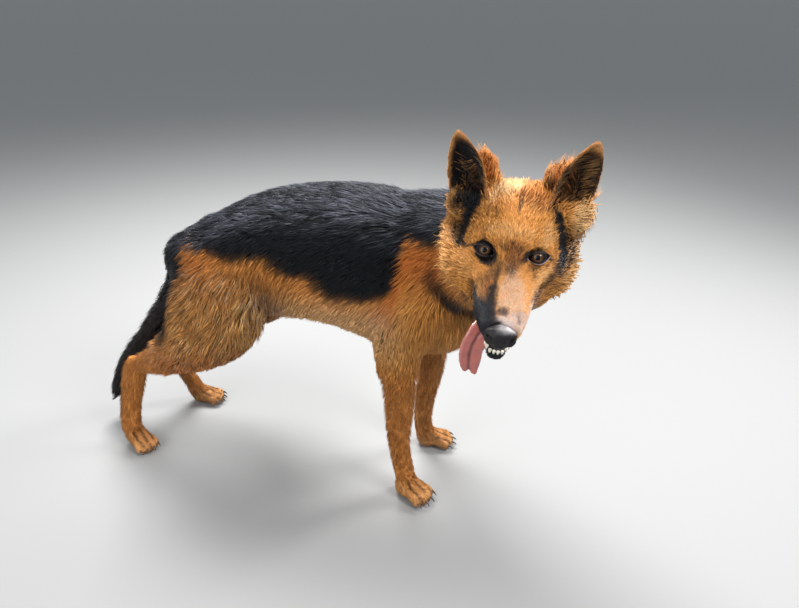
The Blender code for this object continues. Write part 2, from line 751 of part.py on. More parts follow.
# ---------------------------------------------------------------- build
def finish(item, look):
    item.data.materials.clear()
    item.data.materials.append(look)
    apply_modifier(item, "TRIANGULATE")
    for face in item.data.polygons:
        face.use_smooth = False


def seat(items):
    """Centre the dog over the origin with its soles at Z = 0."""
    points = [vert.co for item in items for vert in item.data.vertices]
    low = Vector([min(p[k] for p in points) for k in range(3)])
    high = Vector([max(p[k] for p in points) for k in range(3)])
    shift = Matrix.Translation((-(low.x + high.x) / 2, -(low.y + high.y) / 2, -low.z))
    for item in items:
        item.data.transform(shift)


def main():
    clear_scene()
    group = collection("german_shepherd_dog")
    cutters = collection("cutters")
    looks = {
        "coat": ("coat", (0.50, 0.25, 0.09), 0.85),
        "saddle": ("saddle_coat", (0.03, 0.03, 0.035), 0.75),
        "eye": ("eye", (0.10, 0.045, 0.015), 0.10),
        "nose": ("nose_leather", (0.02, 0.02, 0.022), 0.45),
        "tongue": ("tongue", (0.62, 0.22, 0.22), 0.40),
        "teeth": ("teeth", (0.85, 0.82, 0.72), 0.35),
        "claw": ("claw", (0.05, 0.04, 0.035), 0.45),
    }

    body = flesh(cutters)
    mouth = mouth_cutter(cutters)
    carve(body, mouth)

    inset = [eye(RIGHT, group), eye(LEFT, group), nose(group), tongue(group), lower_teeth(group)]
    for key in PAWS:
        inset += claws(key, group)
    ears = [ear(RIGHT, group), ear(LEFT, group)]
    for side in (RIGHT, LEFT):
        carve(body, eyelid_cutter(side, cutters))
    for item in [*inset, *ears]:
        carve(body, grown(item, GAP, cutters))
    # the tongue lies on the gum and clears the teeth
    carve(inset[3], grown(inset[4], GAP, cutters))
    keep_largest(inset[3])

    parts = part_flesh(body, group, cutters)
    bpy.data.objects.remove(body, do_unlink=True)

    for name, item in parts.items():
        key = "saddle" if name in ("trunk", "tail") else "coat"
        finish(item, material(name + "_" + looks[key][0], *looks[key][1:]))
    kinds = ["eye", "eye", "nose", "tongue", "teeth"] + ["claw"] * (len(inset) - 5)
    for item, key in [*zip(inset, kinds), *((e, "coat") for e in ears)]:
        finish(item, material(item.name + "_" + looks[key][0], *looks[key][1:]))

    seat([*parts.values(), *inset, *ears])
    for item in cutters.objects:
        item.hide_render = True
        item.display_type = "WIRE"


main()
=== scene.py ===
import math
from types import SimpleNamespace

import bpy
import numpy as np
from mathutils import Matrix, Vector, noise
from mathutils.bvhtree import BVHTree
from mathutils.kdtree import KDTree


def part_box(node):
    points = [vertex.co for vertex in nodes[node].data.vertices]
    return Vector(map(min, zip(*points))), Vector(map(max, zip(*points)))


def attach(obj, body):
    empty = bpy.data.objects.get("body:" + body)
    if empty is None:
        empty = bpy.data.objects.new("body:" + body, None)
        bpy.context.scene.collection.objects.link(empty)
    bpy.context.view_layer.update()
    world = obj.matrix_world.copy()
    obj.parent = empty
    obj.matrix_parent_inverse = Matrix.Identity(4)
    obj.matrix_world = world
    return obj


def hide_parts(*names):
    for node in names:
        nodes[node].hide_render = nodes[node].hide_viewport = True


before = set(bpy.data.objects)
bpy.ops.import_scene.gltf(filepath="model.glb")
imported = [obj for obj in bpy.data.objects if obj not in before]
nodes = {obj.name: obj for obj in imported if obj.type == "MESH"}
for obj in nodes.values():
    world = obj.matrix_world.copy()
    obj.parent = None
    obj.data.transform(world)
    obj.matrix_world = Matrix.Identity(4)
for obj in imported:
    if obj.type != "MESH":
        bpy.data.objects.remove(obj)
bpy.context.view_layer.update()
dice = np.random.default_rng(7)             # all chance in the coat comes from here
sides = {"right": -1, "left": 1}            # the sign of y in the head's axes


def deselect():
    for other in bpy.context.selected_objects:
        other.select_set(False)


def selectOnly(item):
    deselect()
    item.select_set(True)
    bpy.context.view_layer.objects.active = item


def placed(name, data):
    item = bpy.data.objects.new(name, data)
    bpy.context.scene.collection.objects.link(item)
    return item


def joined(items):
    # all of them as one, which is the first
    selectOnly(items[0])
    for item in items[1:]:
        item.select_set(True)
    if len(items) > 1:
        bpy.ops.object.join()
    return items[0]


def editAll(item, operator, **settings):
    # one edit-mode operator on a whole mesh
    selectOnly(item)
    bpy.ops.object.mode_set(mode="EDIT")
    bpy.ops.mesh.select_all(action="SELECT")
    operator(**settings)
    bpy.ops.object.mode_set(mode="OBJECT")


def applyModifier(item, kind, **settings):
    selectOnly(item)
    modifier = item.modifiers.new(kind.title(), kind)
    for key, value in settings.items():
        setattr(modifier, key, value)
    bpy.ops.object.modifier_apply(modifier=modifier.name)


def copyOf(names, name):
    # one merged copy of some nodes, to be worked on as a new piece
    made = joined([placed(node + "Copy", nodes[node].data.copy()) for node in names])
    made.name = made.data.name = name
    editAll(made, bpy.ops.mesh.remove_doubles, threshold=0.00001)
    made.data.materials.clear()
    return made


def readRows(items, name, columns, kind=float):
    # one property of every item of a mesh's list
    values = np.empty(len(items) * columns, dtype=kind)
    items.foreach_get(name, values)
    return values.reshape(-1, columns)


def pointsOf(item):
    return readRows(item.data.vertices, "co", 3)


def normalsOf(item):
    return readRows(item.data.vertex_normals, "vector", 3)


def trianglesOf(item):
    item.data.calc_loop_triangles()
    return readRows(item.data.loop_triangles, "vertices", 3, np.int64)


def setPoints(item, values):
    item.data.vertices.foreach_set("co", values.ravel())
    item.data.update()


def setColours(item, name, values):
    layer = item.data.attributes.new(name, "FLOAT_COLOR", "POINT")
    layer.data.foreach_set("color", values.astype(np.float32).ravel())


def columns(first, second=0.0, third=0.0):
    # rows of up to three numbers and a one
    return np.stack(np.broadcast_arrays(first, second, third, 1.0), axis=1)


def treeOf(item):
    return BVHTree.FromPolygons(pointsOf(item).tolist(), trianglesOf(item).tolist())


def unit(values):
    return values / np.maximum(np.linalg.norm(values, axis=-1, keepdims=True), 1e-12)


def ease(low, high, values):
    # 0 at low, 1 at high and smooth between
    t = np.clip((values - low) / (high - low), 0, 1)
    return t * t * (3 - 2 * t)


def fade(*parts):
    # values, middle and width, once or more: 1 where all are at their middles
    powers = [((v - m) / w) ** 2 for v, m, w in zip(parts[::3], parts[1::3], parts[2::3])]
    return np.exp(-sum(powers))


def most(*values):
    # the largest of them at each place
    return np.maximum.reduce(values)


def cloud(points, size, seed=0):
    # smooth noise of about -1 to 1, with features of that size
    shift = Vector((seed * 7.31, seed * 3.17, seed * 5.71))
    return np.array([noise.noise(Vector(p) / size + shift) for p in points.tolist()])


def boxPoint(node, place):
    low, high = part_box(node)
    return np.array([low[k] + (high[k] - low[k]) * place[k] for k in range(3)])


def middleOf(node):
    return pointsOf(nodes[node]).mean(axis=0)


# the head's own axes: x along the muzzle, y to the dog's left, z up, from between the eyes
headPlan = {
    "eyes": (-0.0030, 0.0335, -0.0060),     # where the left eye's centre lies in these axes
    "nose": (0.1125, 0, -0.0135),           # the nose leather's middle
    "noseDrop": math.radians(3.9),          # the nose below the line through the eyes' middle
}
eyeMiddle = {name: Vector(middleOf("eye_" + name)) for name in sides}
headY = (eyeMiddle["left"] - eyeMiddle["right"]).normalized()
toNose = Vector(middleOf("nose")) - (eyeMiddle["left"] + eyeMiddle["right"]) / 2
toNose = (toNose - headY * toNose.dot(headY)).normalized()
headX = Matrix.Rotation(-headPlan["noseDrop"], 3, headY) @ toNose
headZ = headX.cross(headY)
headTurn = np.array((headX, headY, headZ)).T
headOrigin = np.array((eyeMiddle["left"] + eyeMiddle["right"]) / 2) - headTurn @ np.array(
    (headPlan["eyes"][0], 0, headPlan["eyes"][2]))


def inHead(points):
    return (points - headOrigin) @ headTurn


def fromHead(points):
    return np.asarray(points) @ headTurn.T + headOrigin


# the groomer's plan: how the coat lies, its length and how far its tips stand off the skin, by the
# place in a node's box; the right limbs' and those off the trunk's middle are made for both sides
bodyHair = [
    ("trunk", (0.75, 0.5, 0.97), (-1, 0, -0.05), 0.036, 0.011),     # withers
    ("trunk", (0.50, 0.5, 0.98), (-1, 0, -0.10), 0.034, 0.010),     # back
    ("trunk", (0.30, 0.5, 0.90), (-1, 0, -0.25), 0.034, 0.010),     # loin
    ("trunk", (0.12, 0.5, 0.72), (-0.8, 0, -0.6), 0.038, 0.012),    # rump
    ("trunk", (0.82, 0.05, 0.72), (-0.75, 0, -0.55), 0.034, 0.011),  # shoulder blade
    ("trunk", (0.60, 0.03, 0.72), (-0.90, 0, -0.38), 0.034, 0.011),  # ribs
    ("trunk", (0.60, 0.03, 0.45), (-0.65, 0, -0.75), 0.034, 0.012),
    ("trunk", (0.42, 0.10, 0.40), (-0.35, 0, -0.95), 0.038, 0.013),  # flank
    ("trunk", (0.20, 0.05, 0.62), (-0.75, 0, -0.60), 0.036, 0.012),  # hip
    ("trunk", (0.38, 0.04, 0.25), (-0.20, 0, -1.00), 0.042, 0.014),  # thigh
    ("trunk", (0.25, 0.03, 0.40), (-0.45, 0, -0.90), 0.044, 0.014),
    ("trunk", (0.08, 0.05, 0.40), (-0.70, 0, -0.75), 0.044, 0.015),
    ("trunk", (0.55, 0.5, 0.18), (-0.50, 0, -0.85), 0.038, 0.013),  # belly
    ("trunk", (0.40, 0.5, 0.25), (-0.90, 0, -0.30), 0.030, 0.010),
    ("trunk", (0.80, 0.5, 0.08), (-0.50, 0, -0.80), 0.036, 0.014),  # brisket
    ("trunk", (0.83, 0.02, 0.15), (-0.10, 0, -1.0), 0.022, 0.007),  # top of the foreleg
    ("trunk", (0.99, 0.5, 0.40), (0.20, 0, -1.0), 0.042, 0.016),    # chest
    ("trunk", (0.95, 0.12, 0.45), (-0.10, -0.2, -1.0), 0.036, 0.013),
    ("thigh_right", (0.60, 0.03, 0.70), (-0.60, 0, -0.80), 0.045, 0.013),
    ("thigh_right", (0.35, 0.05, 0.40), (-0.60, 0, -0.80), 0.034, 0.010),
    ("thigh_right", (0.12, 0.30, 0.50), (-0.80, 0, -0.65), 0.044, 0.013),
    ("thigh_right", (0.85, 0.40, 0.40), (-0.50, 0, -0.85), 0.032, 0.009),
    ("thigh_right", (0.50, 0.95, 0.50), (-0.50, 0, -0.80), 0.020, 0.006),
    ("shank_right", (0.50, 0.05, 0.50), (-0.75, 0, -0.65), 0.018, 0.005),
    ("shank_right", (0.05, 0.50, 0.45), (-0.50, 0, -0.85), 0.022, 0.006),
    ("hindfoot_right", (0.40, 0.50, 0.75), (-0.10, 0, -1.0), 0.014, 0.004),
    ("hindfoot_right", (0.00, 0.50, 0.55), (-0.30, 0, -1.0), 0.022, 0.006),
    ("hindfoot_right", (0.70, 0.50, 0.15), (0.75, 0, -0.65), 0.008, 0.0022),
    ("foreleg_right", (0.80, 0.30, 0.60), (0.0, 0, -1.0), 0.016, 0.0045),
    ("foreleg_right", (0.05, 0.50, 0.80), (-0.35, 0, -1.0), 0.028, 0.009),
    ("foreleg_right", (0.10, 0.50, 0.30), (-0.25, 0, -1.0), 0.020, 0.005),
    ("forepaw_right", (0.30, 0.50, 0.90), (0.0, 0, -1.0), 0.012, 0.0035),
    ("forepaw_right", (0.70, 0.50, 0.30), (0.75, 0, -0.65), 0.008, 0.0022),
    ("tail", (0.90, 0.5, 0.90), (-0.62, 0, -0.78), 0.040, 0.012),
    ("tail", (0.50, 0.5, 0.50), (-0.62, 0, -0.78), 0.048, 0.014),
    ("tail", (0.08, 0.5, 0.08), (-0.62, 0, -0.78), 0.044, 0.012),
    ("neck", (0.45, 0.45, 0.95), (-0.85, 0.5, -0.10), 0.042, 0.013),
    ("neck", (0.40, 0.15, 0.60), (-0.75, 0.3, -0.50), 0.044, 0.015),
    ("neck", (0.85, 0.60, 0.60), (-0.40, 0.7, -0.50), 0.044, 0.015),
    ("neck", (0.85, 0.35, 0.25), (0.0, 0.2, -1.0), 0.046, 0.017),
    ("neck", (0.70, 0.50, 0.10), (-0.10, 0.1, -1.0), 0.046, 0.017),
    ("neck", (0.60, 0.05, 0.20), (-0.45, 0.1, -0.9), 0.046, 0.017),
]
# the same in the head's own axes, in metres
headHair = [
    ((0.100, 0, -0.002), (-1, 0, 0), 0.0035, 0.0008),               # above the nose
    ((0.060, 0, 0.001), (-1, 0, 0.1), 0.0050, 0.0013),              # bridge
    ((0.075, 0.028, -0.015), (-0.95, 0.2, -0.15), 0.0055, 0.0014),
    ((0.090, 0.024, -0.032), (-0.8, 0.15, -0.6), 0.0055, 0.0014),   # lip
    ((0.040, 0.040, -0.045), (-0.85, 0.1, -0.5), 0.010, 0.0026),
    ((0.020, 0, 0.010), (-0.95, 0, 0.35), 0.0065, 0.0018),          # stop
    ((-0.020, 0, 0.028), (-1, 0, 0.2), 0.010, 0.0028),              # forehead
    ((-0.010, 0.028, 0.020), (-0.8, 0.5, 0.3), 0.009, 0.0026),      # brow
    ((-0.045, 0.035, 0.030), (-0.85, 0.45, 0.1), 0.014, 0.004),
    ((-0.090, 0, 0.025), (-1, 0, -0.1), 0.022, 0.006),              # crown
    ((0.020, 0.042, -0.012), (-0.8, 0.5, -0.35), 0.008, 0.0022),    # below the eye
    ((0.020, 0.020, 0.000), (-0.6, 0.7, 0.1), 0.006, 0.0016),
    ((-0.010, 0.060, -0.030), (-0.8, 0.35, -0.5), 0.013, 0.0040),   # cheek
    ((-0.030, 0.078, -0.040), (-0.75, 0.4, -0.55), 0.024, 0.009),
    ((-0.040, 0.060, 0.005), (-0.8, 0.5, -0.3), 0.013, 0.004),      # temple
    ((-0.060, 0.085, 0.010), (-0.4, 0.7, -0.5), 0.028, 0.010),
    ((-0.045, 0.092, -0.050), (-0.6, 0.55, -0.6), 0.042, 0.015),    # ruff
    ((-0.080, 0.085, -0.060), (-0.8, 0.40, -0.5), 0.046, 0.016),
    ((-0.010, 0.075, -0.085), (-0.5, 0.3, -0.8), 0.038, 0.014),
    ((0.000, 0, -0.100), (-0.6, 0, -0.8), 0.030, 0.010),            # throat
    ((0.060, 0.030, -0.070), (-0.95, 0.1, -0.3), 0.006, 0.0015),    # lower jaw
    ((0.100, 0, -0.095), (-0.8, 0, -0.6), 0.006, 0.0015),
    ((-0.090, 0.045, 0.050), (-0.35, 0.1, 0.95), 0.028, 0.010),     # tuft behind the ear
]
earHair = [
    ((-0.070, 0.080, 0.010), (0, 0.15, 1), 0.010, 0.0020),
    ((-0.070, 0.080, 0.110), (0, 0.05, 1), 0.006, 0.0012),
]
hairReach = {"body": 0.045, "head": 0.016, "ear": 0.05}     # how far a planned place has its say


def mirrored(node):
    return node.replace("_right", "_left") if node.endswith("_right") else node


def plannedHair():
    spots, lies, sizes, kinds = [], [], [], []

    def note(spot, lie, length, lift, kind):
        spots.append(spot)
        lies.append(lie)
        sizes.append((length, lift))
        kinds.append(kind)

    for node, place, lie, length, lift in bodyHair:
        note(boxPoint(node, place), lie, length, lift, "body")
        twoSided = node.endswith("_right") or (node == "trunk" and place[1] != 0.5)
        if twoSided:
            other = (place[0], 1 - place[1], place[2])
            note(boxPoint(mirrored(node), other), (lie[0], -lie[1], lie[2]), length, lift, "body")
    for kind, plan in (("head", headHair), ("ear", earHair)):
        for place, lie, length, lift in plan:
            for side in ((1,) if place[1] == 0 else (1, -1)):
                spot = fromHead((place[0], side * place[1], place[2]))
                turned = headTurn @ np.array((lie[0], side * lie[1], lie[2]))
                note(spot, turned, length, lift, kind)
    return np.array(spots), unit(np.array(lies, dtype=float)), np.array(sizes), np.array(kinds)


hairSpots, hairLies, hairSizes, hairKinds = plannedHair()
hairWidths = np.array([hairReach[kind] for kind in hairKinds])


def hairAt(points, onEar):
    # lie, length and lift of the hair at each point, blended from the plan
    lies = np.empty((len(points), 3))
    sizes = np.empty((len(points), 2))
    for ear in (False, True):
        rows = np.nonzero(onEar == ear)[0]
        plan = (hairKinds == "ear") == ear
        for start in range(0, len(rows), 20000):        # in parts, to spare memory
            part = rows[start:start + 20000]
            away = ((points[part, None, :] - hairSpots[None, plan]) ** 2).sum(-1)
            power = -away / (2 * hairWidths[plan] ** 2)
            weight = np.exp(power - power.max(axis=1, keepdims=True))
            weight /= weight.sum(axis=1, keepdims=True)
            lies[part] = unit(weight @ hairLies[plan])
            sizes[part] = weight @ hairSizes[plan]
    return lies, sizes[:, 0], sizes[:, 1]


# the skin: one closed surface inside the flesh nodes by the depth of the coat
fleshNodes = ["trunk", "neck", "head", "lower_jaw", "tail"] + [
    limb + "_" + side for limb in ("foreleg", "forepaw", "thigh", "shank", "hindfoot") for side in sides]
earNodes = ["ear_right", "ear_left"]
labelNames = fleshNodes + earNodes
trunkMiddle = 0.097     # y of the line between the dog's right and left sides
skinPlan = {
    "firstGrain": 0.0042, "grain": 0.0017, "insetSteps": 3,         # voxels, and steps down to the skin
    "triangles": 185000, "peltTriangles": 60000,
}
lidPlan = {
    "ball": 0.0118, "lid": 0.0013,              # the eyeball's radius and the lid's thickness over it
    "reach": (0.0105, 0.0175),                  # where the lids start to run out into the face, and end
    "half": 0.0136, "upper": 0.0054, "lower": 0.0078,       # half the opening's length, its heights
    "open": {1: 1.0, -1: 0.82},                 # how far the left and the right eye are open
    "slant": math.radians(12), "facing": (0.615, 0.10, 0.78), "margin": 0.0005, "sunk": 0.0030,
    "finer": (0.024, 0.019), "finerMiddle": (0.006, 0, 0.009),      # where the skin is made finer, twice
}


def eyeCentre(sign):
    return np.array(headPlan["eyes"]) * (1, sign, 1)


def insetBody(item):
    # the coat's depth is taken off in steps, with a smoothing after each
    for _ in range(skinPlan["insetSteps"]):
        places = pointsOf(item)
        _, _, lift = hairAt(places, np.zeros(len(places), bool))
        setPoints(item, places - normalsOf(item) * (lift / skinPlan["insetSteps"])[:, None])
        applyModifier(item, "SMOOTH", factor=0.5, iterations=2)


def makeSkin():
    body = copyOf(fleshNodes + ["eye_right", "eye_left"], "skin")
    applyModifier(body, "REMESH", mode="VOXEL", voxel_size=skinPlan["firstGrain"])
    applyModifier(body, "SMOOTH", factor=0.5, iterations=4)
    insetBody(body)
    ears = copyOf(earNodes, "ears")
    applyModifier(ears, "SUBSURF", levels=2, render_levels=2, subdivision_type="CATMULL_CLARK")
    body = joined([body, ears])
    applyModifier(body, "REMESH", mode="VOXEL", voxel_size=skinPlan["grain"])
    applyModifier(body, "SMOOTH", factor=0.5, iterations=3)
    return body


def subdivideNear(item, reach):
    # finer faces round the eyes
    local = inHead(pointsOf(item))
    near = np.zeros(len(local), bool)
    for sign in sides.values():
        near |= np.linalg.norm(local - eyeCentre(sign) - lidPlan["finerMiddle"], axis=1) < reach
    mesh = item.data
    selectOnly(item)
    mesh.vertices.foreach_set("select", np.zeros(len(near), bool))
    mesh.edges.foreach_set("select", np.zeros(len(mesh.edges), bool))
    corner = readRows(mesh.loops, "vertex_index", 1, np.int64).ravel()
    starts = readRows(mesh.polygons, "loop_start", 1, np.int64).ravel()
    mesh.polygons.foreach_set("select", np.logical_and.reduceat(near[corner], starts))
    bpy.ops.object.mode_set(mode="EDIT")
    bpy.ops.mesh.select_mode(type="FACE")
    bpy.ops.mesh.subdivide(number_cuts=1, smoothness=0.0)
    bpy.ops.object.mode_set(mode="OBJECT")


def eyeFrame(sign):
    # columns: outwards along the opening, up across it, and out of it, in head axes
    out = unit(np.array(lidPlan["facing"]) * (1, sign, 1))
    across = unit(np.array((0, sign, 0)) - out * out[1] * sign)
    up = np.cross(out, across) * sign
    slant = lidPlan["slant"]
    return np.array((across * math.cos(slant) + up * math.sin(slant),
                     up * math.cos(slant) - across * math.sin(slant), out)).T


def inEye(local, sign):
    return (local - eyeCentre(sign)) @ eyeFrame(sign)


def eyeOpening(a, b, sign):
    # how far inside the eye's opening a place is, below zero outside it
    crown = np.clip(1 - (a / lidPlan["half"]) ** 2, 0, 1)
    top = lidPlan["upper"] * lidPlan["open"][sign] * crown ** 0.75
    bottom = -lidPlan["lower"] * lidPlan["open"][sign] * crown ** 0.9
    inside = np.minimum(top - b, b - bottom)
    beyond = np.abs(a) - lidPlan["half"]
    return np.where(beyond < 0, inside, -np.hypot(beyond, b) - 0.0002)


def sculptLids(local):
    ball = lidPlan["ball"]
    for sign in sides.values():
        place = inEye(local, sign)
        a, b, c = place.T
        reach = np.hypot(a * 0.92, b)
        rows = np.nonzero((reach < lidPlan["reach"][1]) & (c > -0.004))[0]
        a, b, c, reach = a[rows], b[rows], c[rows], reach[rows]
        dome = np.sqrt(np.clip(ball ** 2 - np.minimum(np.hypot(a, b), ball * 0.93) ** 2, 0, None))
        share = 1 - ease(*lidPlan["reach"], reach)
        opening = eyeOpening(a, b, sign)
        lid = c + (dome + lidPlan["lid"] - c) * share
        lid = lid - fade(opening, -0.0042, 0.0010) * (b > 0) * share * 0.0009      # crease
        lid = lid + fade(opening, -0.0014, 0.0012) * 0.0005 * share                # rim
        hole = np.maximum(dome - lidPlan["sunk"], lid - 0.0042)
        inside = ease(-lidPlan["margin"], lidPlan["margin"], opening)
        place[rows, 2] = lid + (hole - lid) * inside
        local[rows] = (place @ eyeFrame(sign).T + eyeCentre(sign))[rows]
    return local


def headCare(points):
    # 1 on the face, 0 away from the head
    return 1 - ease(0.115, 0.16, np.linalg.norm(inHead(points) - (0.01, 0, 0.01), axis=1))


def sculptHead(item):
    # the face's forms, pushed along the skin's normals, and the lids
    places, facing = pointsOf(item), normalsOf(item)
    hx, hy, hz = inHead(places).T
    side = np.abs(hy)
    push = np.zeros(len(places))
    top = ease(-0.01, 0.01, hz - 0.2 * np.minimum(hx, 0) + 0.012)
    push -= 0.0016 * fade(hy, 0, 0.0055) * ease(-0.115, -0.08, hx) * ease(0.012, -0.012, hx) * top  # furrow
    for y, depth in ((0.010, 0.0007), (0.019, 0.0005)):         # folds of the forehead
        wave = side - y - 0.1 * (hx + 0.03)
        push -= depth * fade(wave, 0, 0.0018) * fade(hx, -0.030, 0.020) * top
    push += 0.0022 * fade(hx, -0.014, 0.010, side, 0.026, 0.012) * top              # brow
    push -= 0.0014 * fade(hx, 0.016, 0.010, side, 0.017, 0.008) * (hz > -0.03)      # eye's inner corner
    push += 0.0012 * fade(hx, 0.078, 0.018, side, 0.027, 0.014, hz, -0.030, 0.014)  # whisker pad
    lip = fade(hx, 0.060, 0.030, hz, -0.036, 0.015) * ease(0.010, 0.022, side)
    push += lip * np.where(hy < 0, 0.0108, 0.0022)              # the right lip hangs over the tongue
    push += 0.0014 * fade(hx, 0.1005, 0.0055) * ease(-0.022, -0.012, hz)            # round the nose
    push += 0.00045 * (cloud(places, 0.0050, 11) * 0.5 + cloud(places, 0.0110, 12))
    local = inHead(places + facing * (push * headCare(places))[:, None])
    setPoints(item, fromHead(sculptLids(local)))


def thin(item, triangles, keepHead):
    # fewer triangles; the head keeps all of its own where it is told to
    group = item.vertex_groups.new(name="thinned")
    free = np.nonzero(headCare(pointsOf(item)) < 0.5)[0] if keepHead else np.arange(len(item.data.vertices))
    group.add(free.tolist(), 1.0, "REPLACE")
    total = len(trianglesOf(item))
    applyModifier(item, "DECIMATE", ratio=triangles / total, vertex_group="thinned")
    item.vertex_groups.clear()


skin = makeSkin()
for reach in lidPlan["finer"]:
    subdivideNear(skin, reach)
sculptHead(skin)
thin(skin, skinPlan["triangles"], True)
skin.data.shade_smooth()
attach(skin, "root")
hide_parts(*fleshNodes, *earNodes)
skinTree = treeOf(skin)
noseTree = treeOf(nodes["nose"])
print("skin", len(trianglesOf(skin)))


def plantLabels():
    # one tree over all flesh nodes, so that a place can be told its node
    corners, faces, owners, start = [], [], [], 0
    for k, name in enumerate(labelNames):
        points, triangles = pointsOf(nodes[name]), trianglesOf(nodes[name])
        corners.append(points)
        faces.append(triangles + start)
        owners.append(np.full(len(triangles), k))
        start += len(points)
    tree = BVHTree.FromPolygons(np.concatenate(corners).tolist(), np.concatenate(faces).tolist())
    return tree, np.concatenate(owners)


labelTree, labelOwners = plantLabels()


def nearestNodes(points):
    found = [labelTree.find_nearest(p)[2] for p in points.tolist()]
    return np.array(labelNames)[labelOwners[found]]


def noseGap(points, local):
    # how far each place is from the nose, where it is near it
    gap = np.ones(len(points))
    for row in np.nonzero(np.linalg.norm(local - headPlan["nose"], axis=1) < 0.035)[0]:
        gap[row] = noseTree.find_nearest(points[row])[3]
    return gap


# the markings: how black, rust, pale and brown the coat is at a place
saddleEdge = [      # x along the trunk and the height of the saddle's lower edge there
    (-0.30, 0.44), (-0.20, 0.470), (-0.17, 0.484), (-0.09, 0.472), (-0.02, 0.486), (0.03, 0.457),
    (0.06, 0.468), (0.092, 0.433), (0.153, 0.429), (0.196, 0.445), (0.213, 0.462), (0.221, 0.515),
    (0.235, 0.542), (0.26, 0.534), (0.29, 0.545), (0.34, 0.575), (0.42, 0.61),
]
rumpEdge = [        # height and x of the black that runs down the rump to the tail
    (0.28, -0.235), (0.36, -0.213), (0.393, -0.204), (0.415, -0.196), (0.434, -0.179), (0.461, -0.171),
    (0.50, -0.172),
]
throatShade = [     # the middle of the brown behind the cheek: dark hair and partly painted shade
    (0.276, -0.013, 0.506), (0.288, -0.012, 0.485), (0.299, 0.004, 0.450), (0.311, 0.030, 0.408),
    (0.323, 0.047, 0.384),
]
# where the face's marks are laid out from: a place in front of the head, in head axes
easelPlan = {"at": (0.453, -0.034, 0.620), "across": (-0.193, 0.981, -0.032), "up": (-0.851, -0.151, 0.502)}
